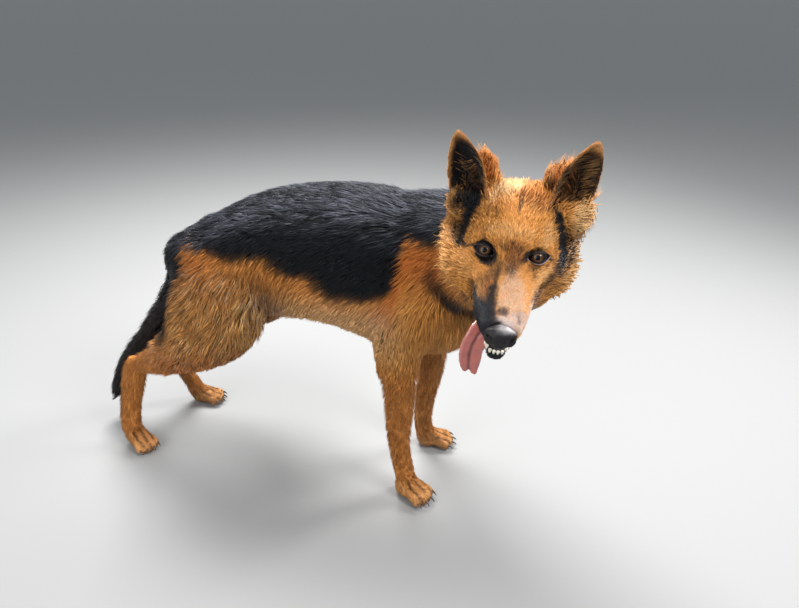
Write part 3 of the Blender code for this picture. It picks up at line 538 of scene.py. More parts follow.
# strokes of darker and lighter coat (pink is rust and pale together): mark, strength, soft edge, then
# across, up and half width along the stroke, in millimetres as seen from there, from between the eyes
faceStrokes = [
    # the two bands from the ears down the cheeks: black hair, and partly painted shade in the crease between
    # face and ruff
    ("black", 1.0, 1.2, [(55, 56, 3.5), (58, 47, 5.6), (60.5, 31, 6.4), (63, 15.5, 7.2), (64.2, 1.4, 7.8),
                         (63.2, -9, 7.2), (60.5, -18.8, 5.2), (57.5, -28, 2)]),
    ("black", 1.0, 1.4, [(-48, 66, 10.5), (-52, 50, 9.2), (-56.5, 38, 8.2), (-60, 27, 7.6), (-64, 14, 6.2)]),
    ("black", 0.85, 1.0, [(-61, 9, 2.5), (-51, 9.2, 1.5), (-41.5, 12, 2.6)]),
    ("black", 0.985, 1.8, [(-36, 9, 8), (-33.5, 3, 13), (-30, -4, 12.5), (-29, -7, 10)]),
    ("black", 0.85, 1.4, [(-33, 20.5, 1.0), (-32, 12, 5.5)]),
    ("black", 0.95, 1.1, [(16, -9, 4.2), (20, -4.5, 5), (27, 0.4, 3.4), (37, 0.7, 3.1), (45, -4, 2.5),
                          (49.5, -9.5, 1)]),
    ("black", 0.85, 0.9, [(33, 8, 0.8), (34.5, 2.5, 3.8)]),
    ("black", 0.62, 2.5, [(23, -20, 3.4), (34, -20, 3.4)]),
    # the black down the right side of the muzzle, darker than on the left: dark hair and partly painted
    # shade
    ("black", 0.72, 2.6, [(-16.4, -20.5, 1.8), (-20, -34, 4.2)]),
    ("black", 0.975, 4.4, [(-20.5, -36, 4.0), (-24, -50, 6.6), (-26.5, -62, 8.2), (-29, -72, 11)]),
    ("black", 0.985, 4.0, [(-48, -37, 3.6), (-47.5, -49.5, 4.6), (-45, -62, 7), (-38, -75, 15)]),
    ("black", 1.0, 4.4, [(-37, -72, 16), (-38, -85, 14.5), (-32, -97, 16), (-22, -111, 19)]),
    ("black", 0.985, 5.0, [(-26, -78, 8), (-22, -90, 9)]),
    ("black", 0.60, 2.0, [(-15, -73, 3.5), (-9, -75, 4)]),
    ("brown", 0.80, 2.4, [(-14, -74, 5), (-8, -74, 5)]),
    ("black", 0.65, 1.2, [(8.3, -80, 1.6), (10.4, -89, 2.1)]),
    ("brown", 0.75, 1.6, [(14.3, 66.5, 3.2), (11.3, 57, 2.8), (9.3, 48, 1.0)]),
    ("brown", 0.34, 4.0, [(21, 61, 5.3), (33, 58, 7), (46, 55, 7)]),
    ("brown", 0.28, 4.0, [(-30, 55, 7), (-18, 50, 5)]),
    ("brown", 0.66, 4.0, [(-14, 9, 3), (3, 3, 9), (18, 5, 3)]),
    ("brown", 0.66, 5.0, [(3, 5, 9), (3, -9, 12), (-2, -22, 8)]),
    ("rust", 0.50, 4.0, [(3, 6, 10), (3, -9, 13), (0, -22, 9)]),
    ("brown", 0.66, 4.0, [(-13, -13, 5.5), (-20, -22, 8), (-29, -30, 7)]),
    ("brown", 0.60, 3.0, [(-33, -34, 8), (-34, -48, 7), (-35, -60, 7)]),
    ("rust", 0.60, 2.5, [(-28, -34, 4), (-30, -50, 4)]),
    # brown down along the left jaw below the band: darker hair and partly painted shade below the cheek
    ("brown", 0.75, 3.0, [(58, -16, 6), (54, -26, 6), (46, -35, 5), (36, -46, 3.6), (27, -60, 2)]),
    ("black", 0.22, 7.0, [(8, -76, 4), (12, -84, 6)]),
    ("brown", 0.92, 2.0, [(28, -22, 1.6), (29.5, -31, 2.0)]),
    ("pale", 0.50, 8.0, [(3, -30, 9), (3, -50, 13), (3, -67, 14)]),
    ("pink", 0.72, 7.0, [(1, -26, 9), (1, -46, 18), (1, -66, 20)]),
    ("pink", 0.95, 5.0, [(-13, -84, 9), (0, -84, 11), (12, -84, 12), (16, -98, 9)]),
    ("pink", 0.95, 4.0, [(33, -50, 4), (28, -64, 5), (25, -78, 7), (23, -98, 8)]),
    ("pale", 0.35, 4.0, [(44, -23, 8), (35, -38, 8), (27, -52, 5)]),
    ("pale", 0.45, 5.0, [(46, 32, 5), (47, 20, 7), (42, 8, 5)]),
    # painted highlight: the crown paler where the light falls on top of the head
    ("pale", 0.95, 8.0, [(-24, 70, 7), (-12, 80, 11), (8, 84, 10)]),
    # painted rim light: the outer fringe of the left ruff paler
    ("pale", 0.85, 5.0, [(90, 52, 12), (88, 21, 13), (84, 0, 9), (79, -18, 8), (78, -38, 8)]),
    ("pale", 0.60, 6.0, [(-88, 28, 7), (-90, 0, 8), (-88, -20, 6)]),
    ("pale", 0.16, 6.0, [(-62, -4, 8), (-56, -22, 9)]),
    ("pale", 0.30, 5.0, [(-22, 30, 8), (0, 28, 10), (22, 22, 8)]),
]
hollowStrokes = [   # the same inside the ears' lower ends, on ear and head
    ("black", 0.97, 1.8, [(-55, 88, 22), (-53, 73, 18), (-50, 62, 12)]),
    ("brown", 0.70, 3.0, [(-72, 66, 7), (-68, 52, 5)]),
    ("black", 0.80, 2.4, [(59, 84, 9), (66, 74, 11), (76, 71, 11), (88, 70, 8)]),
    ("black", 0.90, 3.0, [(66, 104, 8), (76, 94, 11), (84, 84, 10)]),
    ("black", 0.95, 2.4, [(-54, 118, 8.5), (-51, 106, 10), (-47, 93, 12)]),
]
neckStrokes = [     # the brown behind the cheek: dark hair and partly painted shade
    ("brown", 1.0, 6.0, [(-94, -28, 9), (-82, -46, 14), (-70, -62, 15), (-58, -78, 15), (-56, -92, 14),
                         (-58, -108, 10)]),
    ("black", 0.55, 7.0, [(-82, -46, 6), (-70, -62, 8), (-58, -78, 8), (-50, -88, 7)]),
]
markColumns = ["black", "rust", "pale", "brown"]
# a brown line back from the left corner of the mouth, in head axes: darker hair and partly painted shade
# below the cheek
jawLine = [(0.060, 0.036, -0.060), (0.028, 0.047, -0.057), (0.010, 0.062, -0.049), (-0.008, 0.074, -0.046)]
earEdges = {        # the ear's inner and outer edge at some heights, and its tip
    "height": (0.0, 0.046, 0.078, 0.104, 0.130), "inner": (0.036, 0.038, 0.043, 0.056, 0.078),
    "outer": (0.076, 0.091, 0.0935, 0.091, 0.082), "tip": 0.1285,
}
# the painted shade in the grooves between the toes: its lines' length, the width and height it fades over,
# and its strength
furrowPlan = {"length": 0.042, "width": (0.0030, 0.0010), "height": (0.055, 0.045), "strength": 0.85}


def lineDistance(points, line):
    best = np.full(len(points), 9.0)
    for a, b in zip(np.array(line[:-1]), np.array(line[1:])):
        along = np.clip(((points - a) @ (b - a)) / ((b - a) @ (b - a)), 0, 1)
        best = np.minimum(best, np.linalg.norm(points - a - along[:, None] * (b - a), axis=1))
    return best


def onEasel(local):
    # a place in millimetres as seen from the easel, and the way to it
    plane = np.stack((easelPlan["across"], easelPlan["up"]), axis=1)
    ahead = np.cross(plane[:, 1], plane[:, 0])
    start = np.array(easelPlan["at"])
    scale = 1000 * (-start @ ahead) / ((local - start) @ ahead)
    return ((local - start) @ plane) * scale[:, None] + start @ plane * 1000, -ahead


def facingEasel(facing, toEasel):
    return facing @ (headTurn @ toEasel)


def paint(marks, strokes, seen, faced, ragged):
    # each stroke raises its own mark; brown ones are mottled, pale ones thin the rust under them, and
    # pink ones raise rust with pale
    for name, strength, soft, line in strokes:
        column = markColumns.index("pale" if name == "pink" else name)
        gap = np.full(len(seen), 99.0)
        for (ax, ay, ah), (bx, by, bh) in zip(line[:-1], line[1:]):
            step = np.array((bx - ax, by - ay))
            along = np.clip((seen - (ax, ay)) @ step / (step @ step), 0, 1)
            away = np.linalg.norm(seen - (ax, ay) - along[:, None] * step, axis=1)
            gap = np.minimum(gap, away - ah - (bh - ah) * along)
        shade = strength * ease(soft, -soft, gap + ragged * min(3.4, 0.5 + soft * 0.6)) * faced
        if name == "brown":
            shade = shade * np.clip(1 + 0.5 * ragged, 0.4, 1.25)
        marks[:, column] = most(marks[:, column], shade)
        if name == "pale":
            marks[:, 1] *= 1 - 0.6 * shade
        if name == "pink":
            marks[:, 1] = most(marks[:, 1], shade)


def earPlace(local):
    # height up the ear and place across it, 0 at the inner edge and 1 at the outer
    height = local[:, 2]
    low = np.interp(height, earEdges["height"], earEdges["inner"])
    high = np.interp(height, earEdges["height"], earEdges["outer"])
    return height / earEdges["tip"], (np.abs(local[:, 1]) - low) / np.maximum(high - low, 0.004)


def toeFurrows():
    # lines on the floor between neighbouring claws, back along each paw
    lines = []
    for leg in ("fore_right", "fore_left", "hind_right", "hind_left"):
        claws = [np.mean(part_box(f"claw_{leg}_{k}"), axis=0) * (1, 1, 0) for k in (1, 2, 3, 4)]
        claws.sort(key=lambda p: p[1])
        back = np.cross(unit(claws[-1] - claws[0]), (0, 0, 1.0))
        back = back * -np.sign(back[0])
        for first, second in zip(claws[:-1], claws[1:]):
            start = (first + second) / 2
            lines.append([start, start + back * furrowPlan["length"]])
    return lines


furrows = toeFurrows()


def legMarks(points, facing, labels):
    # brown lines between the toes, painted shade in the grooves; brown behind the hocks; and painted shade
    # on the legs' inner sides
    y, z = points[:, 1], points[:, 2]
    toes = np.zeros(len(points))
    if (z < 0.06).any():
        flat = points * (1, 1, 0)
        gap = np.min([lineDistance(flat, line) for line in furrows], axis=0)
        toes = ease(*furrowPlan["width"], gap) * ease(*furrowPlan["height"], z) * furrowPlan["strength"]
    rear = ease(-0.2, -0.6, facing[:, 0]) * np.isin(labels, ["hindfoot_right", "hindfoot_left"])
    # the legs' inner sides darker: painted shade
    inner = ease(0.2, 0.7, np.abs(facing[:, 1])) * ((facing[:, 1] > 0) == (y < trunkMiddle))
    return most(toes, rear * ease(0.05, 0.09, z) * 0.5, inner * ease(0.30, 0.26, z) * 0.35)


def bodyMarks(points, facing, labels):
    x, _, z = points.T
    broad, fine = cloud(points, 0.030, 1), cloud(points, 0.009, 2)
    # black: the saddle, the rump and the tail
    over = z - np.interp(x, *zip(*saddleEdge)) + broad * 0.006 + fine * 0.007
    rump = np.interp(z, *zip(*rumpEdge)) - x + fine * 0.008
    black = most(ease(-0.008, 0.008, over), ease(-0.008, 0.006, rump) * ease(0.27, 0.32, z))
    tail, dark = labels == "tail", black > 0.5
    # rust: below the saddle and on the legs
    below = fade(over, -0.022, 0.045) * (0.30 + 0.6 * ease(0.14, 0.22, x) + 0.35 * ease(-0.08, -0.16, x))
    hock = ease(-0.04, -0.10, x) * ease(0.30, 0.27, z) * ease(0.19, 0.22, z) * ease(-0.32, -0.28, x)
    rust = most(below, ease(0.33, 0.28, z) * 0.35, hock * 0.6)
    # pale: the belly, the thigh and the toes
    belly = ease(0.455, 0.385, z) * ease(-0.12, -0.02, x) * ease(0.26, 0.18, x) * ease(0.31, 0.36, z) * 0.62
    thigh = ease(0.475, 0.43, z) * ease(0.02, -0.06, x) * ease(0.25, 0.31, z)
    pale = np.clip(belly + thigh * (0.14 + 0.30 * broad), 0, 1)
    pale = most(pale, ease(0.06, 0.02, z) * 0.25)
    # brown: the thigh; the fold in front of the stifle, painted shade in the crease; the brown behind the
    # cheek, dark hair and partly painted shade; and the chest
    mottle = np.clip(-0.1 + 1.2 * cloud(points, 0.022, 5), 0, 1) * thigh * 0.25
    # painted shade in the fold in front of the stifle: browner, and redder
    fold = fade(x, -0.020, 0.028, z, 0.405, 0.040)
    shade = ease(0.022, 0.010, lineDistance(points, throatShade) + fine * 0.008)
    front = ease(0.23, 0.28, x) * ease(0.56, 0.50, z)
    brown = most(mottle, fold * (0.40 + 0.3 * fine), legMarks(points, facing, labels))
    # painted sheen: a lighter, bluish highlight in streaks where the saddle faces up
    shine = ease(0.15, 0.75, facing[:, 2]) * np.clip(0.75 + 0.9 * broad + 0.5 * fine, 0, 1) * dark
    rust = most(rust * (1 - shine), shine, fold * 0.8)
    pale = most(pale, shine)
    black = np.where(tail, 0.80 + 0.15 * fine, black)
    brown = np.where(tail, 1.0, brown)
    light = black < 0.5
    brown = most(brown, shade * light * 0.85, front * light * np.clip(broad + fine * 0.6, 0, 1) * 0.35)
    pale = most(pale, front * light * ease(0.40, 0.34, z) * 0.12)
    return np.stack((black, rust, pale, brown), axis=1)


def eyeMarks(local, fine):
    # the dark line round each eye's opening, thinner below the left one
    dark = np.zeros(len(local))
    for name, sign in sides.items():
        a, b, c = inEye(local, sign).T
        rim = eyeOpening(a, b, sign) + fine * 0.0006
        wide = np.where(b > 0, 0.0030, 0.0014) if name == "left" else 0.0030
        dark = most(dark, ease(-wide, -wide * 0.5, rim) * ((c > -0.010) & (c < 0.020)))
    return dark


def headMarks(points, facing, labels):
    local = inHead(points)
    hx, hy, hz = local.T
    side = np.abs(hy)
    broad, fine = cloud(points, 0.022, 1), cloud(points, 0.006, 2)
    ragged = cloud(points, 0.0035, 9) + fine * 0.6
    seen, toEasel = onEasel(local)
    muzzle, turned = hx > 0.020, facingEasel(facing, toEasel)
    faced = ease(np.where(muzzle, -0.40, -0.12), np.where(muzzle, -0.15, 0.12), turned)
    marks = np.zeros((len(points), len(markColumns)))
    marks[:, 2] = ease(0.060, 0.085, side) * (0.30 + 0.30 * broad)
    marks[:, 1] = fade(hy, 0, 0.050) * fade(hx, -0.075, 0.020) * (hz > -0.01) * 0.35
    tuft = fade(hx, -0.083, 0.016, side, 0.044, 0.012) * ease(0.03, 0.05, hz)       # behind the ear
    marks[:, 1] = most(marks[:, 1], tuft * 0.8)
    marks[:, 3] = tuft * np.clip(cloud(points, 0.004, 8) * 1.6, 0, 1) * (hy < 0) * 0.8
    paint(marks, faceStrokes, seen, faced, ragged)
    paint(marks, hollowStrokes, seen, ease(-0.1, 0.2, turned), ragged)
    black = most(marks[:, 0], eyeMarks(local, fine))
    # what the easel does not see: the sides and underside of the muzzle
    low = ease(0.030, 0.050, hx) * ease(-0.034, -0.046, hz + fine * 0.003)
    # the right side darker than the left: dark hair and partly painted shade
    jaw = np.where(labels == "lower_jaw", ease(0.060, 0.080, hx), low * np.where(hy < 0, 0.95, 0.45))
    marks[:, 0] = most(black, jaw)
    # the brown line behind the jaw: partly painted shade below the cheek
    line = ease(0.012, 0.005, lineDistance(local, jawLine) + fine * 0.003)
    marks[:, 3] = most(marks[:, 3], line * 0.45)
    return marks


def earMarks(points, facing):
    # a dark hollow with a pale rim in front, tan behind
    local = inHead(points)
    height, across = earPlace(local)
    fine = cloud(points, 0.005, 2)
    left = local[:, 1] > 0
    inside = ease(-0.1, 0.3, facing @ headTurn[:, 0])
    edge = 0.93 - 0.08 * ease(0.45, 0.8, height)
    rim = most(ease(edge - 0.02, edge + 0.08, across + fine * 0.04), ease(0.22, 0.10, across + fine * 0.05),
               ease(0.72, 0.92, height + fine * 0.04))
    dark = inside * (1 - rim)
    soft = ease(0.50, 0.80, across) * (1 - rim) * np.where(left, 0.50, 0.10)
    marks = np.stack((dark * (0.95 - soft), 0.30 * (1 - dark), 0.40 * rim * inside,
                      np.maximum(dark, 0.25 * (1 - inside))), axis=1)
    seen, toEasel = onEasel(local)
    paint(marks, hollowStrokes, seen, ease(-0.1, 0.2, facingEasel(facing, toEasel)), fine)
    return marks


def markings(points, facing, labels):
    # rows of black, rust, pale and brown
    marks = bodyMarks(points, facing, labels)
    onHead, onEar = np.isin(labels, ["head", "lower_jaw"]), np.isin(labels, earNodes)
    onNeck = labels == "neck"
    if onNeck.any():
        seen, toEasel = onEasel(inHead(points[onNeck]))
        faced = ease(-0.3, 0.1, facingEasel(facing[onNeck], toEasel))
        neck = marks[onNeck]
        paint(neck, neckStrokes, seen, faced, cloud(points[onNeck], 0.008, 9) * 2.5)
        marks[onNeck] = neck
    if onHead.any():
        marks[onHead] = headMarks(points[onHead], facing[onHead], labels[onHead])
    if onEar.any():
        marks[onEar] = earMarks(points[onEar], facing[onEar])
    return np.clip(marks, 0, 1)


def mouthGap(local):
    # how far outside the open mouth a place is, below zero inside it
    hx, _, hz = local.T
    return np.maximum(hz - (0.101 * (hx - 0.034) - 0.0505), (-0.239 * (hx - 0.034) - 0.0595) - hz)


def bareMarks(points, facing, labels):
    # rows of lid and lip leather, wet mouth, the lower lid's pale line, and pads
    local = inHead(points)
    hx, hy, hz = local.T
    leather, line = np.zeros(len(points)), np.zeros(len(points))
    for sign in sides.values():
        a, b, c = inEye(local, sign).T
        near = (c > -0.008) & (c < 0.020)
        rim = eyeOpening(a, b, sign)
        leather = most(leather, ease(-0.0026, -0.0016, rim) * near)
        line = most(line, fade(rim, -0.0010, 0.0006) * (b < 0) * near * (0.75 if sign > 0 else 0.05))
    jaws = np.isin(labels, ["head", "lower_jaw"])
    gap = mouthGap(local)
    wet = jaws * ease(0.0, -0.0015, gap) * ease(0.030, 0.036, hx)
    lips = jaws * ease(0.0060, 0.0035, gap) * ease(0.030, 0.036, hx)
    rim = np.clip((0.0032 - noseGap(points, local)) / 0.0015, 0, 1)
    pale = ease(-0.004, 0.004, hy) * ease(-0.014, -0.008, hz)
    leather = most(leather, lips, rim * (1 - pale))
    line = most(line, rim * pale * 0.75)
    pads = ease(0.010, 0.004, points[:, 2]) * ease(-0.3, -0.7, facing[:, 2])
    return np.clip(np.stack((leather, wet, line, pads), axis=1), 0, 1)


class Socket:
    # a node's output that adds Math nodes when it is used in an expression
    def __init__(self, tree, socket):
        self.tree, self.socket = tree, socket

    def node(self, kind, settings=None, values=None, output=0):
        # any node: its settings first, then the values or links of its sockets
        made = self.tree.nodes.new(kind)
        for key, value in (settings or {}).items():
            setattr(made, key, value)
        for key, value in (values or {}).items():
            if isinstance(value, Socket):
                self.tree.links.new(value.socket, made.inputs[key])
            else:
                made.inputs[key].default_value = value
        return Socket(self.tree, made.outputs[output])

    def maths(self, kind, first, second):
        return self.node("ShaderNodeMath", {"operation": kind}, {0: first, 1: second})

    def __add__(self, other):
        return self.maths("ADD", self, other)

    def __sub__(self, other):
        return self.maths("SUBTRACT", self, other)

    def __rsub__(self, other):
        return self.maths("SUBTRACT", other, self)

    def __mul__(self, other):
        return self.maths("MULTIPLY", self, other)

    __radd__ = __add__
    __rmul__ = __mul__

    def mixed(self, first, second):
        # a colour mix with this socket as its share
        return self.node("ShaderNodeMix", {"data_type": "RGBA"}, {0: self, 6: first, 7: second}, 2)

    def scaled(self, amount):
        return self.node("ShaderNodeVectorMath", {"operation": "SCALE"}, {0: self, "Scale": amount})

    def place(self):
        return self.node("ShaderNodeTexCoord", output=3)

    def mottle(self, scale, detail=3.0):
        return self.node("ShaderNodeTexNoise", values={"Vector": self, "Scale": scale, "Detail": detail})

    def pebbles(self, scale):
        return self.node("ShaderNodeTexVoronoi", values={"Vector": self, "Scale": scale})

    def columns(self, name):
        # the red, green, blue and alpha of a colour attribute
        colour = self.node("ShaderNodeAttribute", {"attribute_name": name})
        split = colour.node("ShaderNodeSeparateColor", values={0: colour})
        parts = [Socket(self.tree, split.socket.node.outputs[k]) for k in range(3)]
        return parts + [Socket(self.tree, colour.socket.node.outputs["Alpha"])]

    def feed(self, name):
        # into the material's own shader
        self.tree.links.new(self.socket, self.tree.nodes["Principled BSDF"].inputs[name])

    def bump(self, strength, distance):
        relief = {"Height": self, "Strength": strength, "Distance": distance}
        self.node("ShaderNodeBump", values=relief).feed("Normal")


def newMaterial(name, **constants):
    # the material, and its shader as a start for the other nodes
    look = bpy.data.materials.new(name)
    look.use_nodes = True
    shader = look.node_tree.nodes["Principled BSDF"]
    for key, value in constants.items():
        shader.inputs[key.replace("_", " ")].default_value = value
    return look, Socket(look.node_tree, shader.outputs[0])


# the last coat colour is a painted sheen, a bluish highlight on the black
coatColours = {
    "tan": (0.80, 0.365, 0.088, 1), "tanDeep": (0.62, 0.240, 0.047, 1), "rust": (0.66, 0.188, 0.034, 1),
    "pale": (0.90, 0.570, 0.260, 1), "brown": (0.060, 0.028, 0.015, 1), "black": (0.005, 0.006, 0.009, 1),
    "pink": (0.62, 0.49, 0.43, 1), "paintedSheen": (0.105, 0.110, 0.135, 1),
}
bareColours = {
    "leather": (0.016, 0.013, 0.014, 1), "pads": (0.030, 0.026, 0.026, 1), "wet": (0.20, 0.050, 0.050, 1),
    "line": (0.62, 0.50, 0.50, 1),
}


def coatColour(base, patch):
    # the colour of the markings; patch is a 0 to 1 variation between two tans, and rust and pale
    # together make pink on tan and a painted sheen, a bluish highlight, on black
    black, rust, light, brown = base.columns("marks")
    colour = patch.mixed(coatColours["tanDeep"], coatColours["tan"])
    colour = rust.mixed(colour, coatColours["rust"])
    colour = light.mixed(colour, (rust * light).mixed(coatColours["pale"], coatColours["pink"]))
    colour = brown.mixed(colour, coatColours["brown"])
    return black.mixed(colour, (rust * light).mixed(coatColours["black"], coatColours["paintedSheen"])), black


def coatMaterial():
    look, base = newMaterial("coatHair", Specular_IOR_Level=0.22, Coat_Roughness=0.35)
    chance, along, clump, _ = base.columns("strand")
    colour, black = coatColour(base, chance * 0.6 + clump * 0.4)
    # darker towards each tuft's root, painted shade among the hairs, with a random tone for each tuft and
    # clump
    colour.scaled((0.42 + along * 0.62) * (0.72 + chance * 0.30 + clump * 0.20)).feed("Base Color")
    (0.64 - black * 0.12).feed("Roughness")
    (black * 0.05).feed("Coat Weight")
    return look


def skinMaterial():
    look, base = newMaterial("coatSkin", Specular_IOR_Level=0.3)
    place = base.place()
    grain = place.mottle(420.0)
    bare = dict(zip(("leather", "wet", "line", "pads"), base.columns("bare")))
    colour, _ = coatColour(base, grain)
    # the skin has the coat's colours darkened, painted shade under the coat, by a random grain
    colour = colour.scaled(0.50 + grain * 0.45)
    for name in ("leather", "pads", "wet", "line"):
        colour = bare[name].mixed(colour, bareColours[name])
    colour.feed("Base Color")
    (0.75 - bare["leather"] * 0.38 - bare["wet"] * 0.45).feed("Roughness")
    (grain + place.pebbles(1500.0) * 0.5).bump(0.5, 0.0008)
    return look


def markSkin():
    places = pointsOf(skin)
    facing, labels = normalsOf(skin), nearestNodes(places)
    setColours(skin, "marks", markings(places, facing, labels))
    setColours(skin, "bare", bareMarks(places, facing, labels))
    skin.data.materials.append(skinMaterial())


hairLook = coatMaterial()
markSkin()
print("markings")


# the coat: thin closed tufts rooted in the skin
tuftPlan = {
    "sink": 0.0012,                             # how deep a root goes into the skin
    "waist": 0.42,                              # where a tall tuft's ring is, along its length
    "flatness": 0.42,                           # a tuft's thickness to its width
    "patch": 0.003,                             # each tuft's patch on the unwrap
    "clump": 0.09, "pull": 0.5,                 # small clumps to a tuft, and how much they draw tips in
    "lock": 0.012, "lockPull": 0.35,            # the same for the larger locks
    "stray": 0.12,                              # how far tufts stray from the planned lie
    "waves": ((0.040, 3, 0.30), (0.015, 4, 0.24)),          # the waves' size, seed and height
    "streak": 0.0055,                           # the width of darker and lighter streaks
    "lengths": (0.70, 0.50), "lifts": (0.55, 0.60),         # shares of the plan's, and their spread
}
coatPlan = {        # number of tufts, tall or short, width, rise off the skin, draw into locks
    "coatFace": (38000, False, 0.0010, 1.0, 0.6),
    "coatRuffRight": (24000, True, 0.0013, 1.6, 0.55),
    "coatRuffLeft": (21000, True, 0.0013, 1.9, 0.55),
    "coatEars": (20000, False, 0.0010, 1.0, 0.6),
    "coatNeck": (25000, True, 0.0018, 1.15, 0.8),
    "coatShoulderRight": (27000, True, 0.0018, 1.0, 0.8),
    "coatShoulderLeft": (20000, True, 0.0018, 1.0, 0.8),
    "coatRumpRight": (27000, True, 0.0018, 1.1, 1.0),
    "coatRumpLeft": (21000, True, 0.0018, 1.1, 1.0),
    "coatThighs": (17000, True, 0.0018, 1.1, 1.0),
    "coatTail": (9000, True, 0.0021, 1.5, 1.0),
    "coatLegs": (26000, False, 0.0014, 1.0, 0.5),
}
wispPlan = {        # pale wisps inside the ears: how many, left and right, their length and lift
    "share": (0.11, 0.012), "length": (0.015, 0.008), "lift": 0.0045, "marks": (0.0, 0.0, 0.45, 0.45),
    "heights": (0.12, 0.78), "forward": 0.25,
    "edges": (((0.72, 0.97), -1.0, -0.55), ((0.04, 0.26), 0.8, 0.5)),       # outer and inner edge
}


def onSkin(points):
    # the nearest place on the skin and its outward direction
    found = [skinTree.find_nearest(p)[:2] for p in points.tolist()]
    return np.array([f[0] for f in found]), np.array([f[1] for f in found])


def alongSkin(lie, out):
    return unit(lie - out * (lie * out).sum(axis=1, keepdims=True))


def onHip(points):
    # 1 where the coat is long and wavy, on hip and thigh
    x, _, z = points.T
    return ease(0.02, -0.06, x) * ease(0.49, 0.45, z) * ease(0.22, 0.28, z)


def bareAt(points, facing, labels):
    # where no hair grows: eye openings, the mouth, the nose's rim and the soles
    local = inHead(points)
    bare = (local[:, 0] > 0.034) & (mouthGap(local) < 0.0030) & np.isin(labels, ["head", "lower_jaw"])
    for sign in sides.values():
        a, b, c = inEye(local, sign).T
        bare |= (eyeOpening(a, b, sign) > -0.0018) & (c > -0.003) & (np.hypot(a, b) < 0.02)
    bare |= noseGap(points, local) < 0.0030
    return bare | ((points[:, 2] < 0.010) & (facing[:, 2] < -0.6))


def roundEyes(at, out, lie, length):
    # hair by an eye points away from it and is shorter
    local, turned = inHead(at), lie @ headTurn
    for sign in sides.values():
        a, b, c = inEye(local, sign).T
        share = ease(0.010, 0.003, -eyeOpening(a, b, sign)) * (np.hypot(a, b) < 0.03)
        share = share * (c > -0.010) * (c < 0.022)
        away = unit(np.stack((a / 1.6, b, 0 * a), axis=1)) @ eyeFrame(sign).T
        turned = unit(turned * (1 - share)[:, None] + away * share[:, None])
        length = length * (1 - 0.55 * share)
    return alongSkin(turned @ headTurn.T, out), length


def insideEars(at, out, lie, length, lift):
    # longer pale wisps cross the ear from its outer edge and rise from its inner edge
    local = inHead(at)
    height, across = earPlace(local)
    bottom, top = wispPlan["heights"]
    inside = ((out @ headTurn)[:, 0] > 0.1) & (height > bottom) & (height < top)
    inside &= dice.random(len(at)) < np.where(local[:, 1] > 0, *wispPlan["share"])
    sign = np.sign(local[:, 1])
    wisp = np.zeros(len(at), bool)
    for (low, high), slope, rise in wispPlan["edges"]:
        rows = inside & (across > low) & (across < high)
        turned = np.stack(np.broadcast_arrays(wispPlan["forward"], sign * slope, rise), axis=1)
        lie[rows] = unit(turned @ headTurn.T)[rows]
        length[rows] = wispPlan["length"][0] + wispPlan["length"][1] * dice.random(rows.sum())
        lift[rows] = wispPlan["lift"]
        wisp |= rows
    return lie, length, lift, wisp


def unwrapped(corners, faces):
    # an unwrap of a region's shape, as the place of each triangle's corners
    used, index = np.unique(faces, return_inverse=True)
    mesh = bpy.data.meshes.new("region")
    mesh.from_pydata(corners[used].tolist(), [], index.reshape(-1, 3).tolist())
    region = placed("region", mesh)
    mesh.uv_layers.new(name="flat")
    editAll(region, bpy.ops.uv.smart_project, angle_limit=math.radians(66), island_margin=0.004)
    flat = readRows(mesh.uv_layers["flat"].data, "uv", 2)
    bpy.data.objects.remove(region, do_unlink=True)
    return flat.reshape(-1, 3, 2)


def scatter(corners, faces, share, count):
    # even random places on triangles: the face, and the weights of its corners
    a, b, c = (corners[faces[:, k]] for k in range(3))
    area = np.linalg.norm(np.cross(b - a, c - a), axis=1) * share
    total = np.concatenate(([0], np.cumsum(area)))
    marks = (np.arange(count) + dice.random(count)) / count * total[-1]
    chosen = np.clip(np.searchsorted(total, marks, side="right") - 1, 0, len(faces) - 1)
    u, v = dice.random(count), dice.random(count)
    flip = u + v > 1
    u[flip], v[flip] = 1 - u[flip], 1 - v[flip]
    return chosen, np.stack((1 - u - v, u, v), axis=1)


def rootTufts(pelt, faces, share, count):
    # where the tufts stand: on the skin, its outward direction, on the unwrap, and the node
    chosen, weight = scatter(pelt.corners, faces, share, count)
    weight = weight[:, :, None]
    at, _ = onSkin((pelt.corners[faces[chosen]] * weight).sum(axis=1))
    out = unit((pelt.turned[faces[chosen]] * weight).sum(axis=1))
    flat = (unwrapped(pelt.corners, faces)[chosen] * weight).sum(axis=1)
    label = pelt.labels[faces[chosen, 0]]
    keep = ~bareAt(at, out, label)
    label = label[keep]
    return SimpleNamespace(at=at[keep], out=out[keep], flat=flat[keep], label=label,
                           onHead=label == "head", onEar=np.isin(label, earNodes))


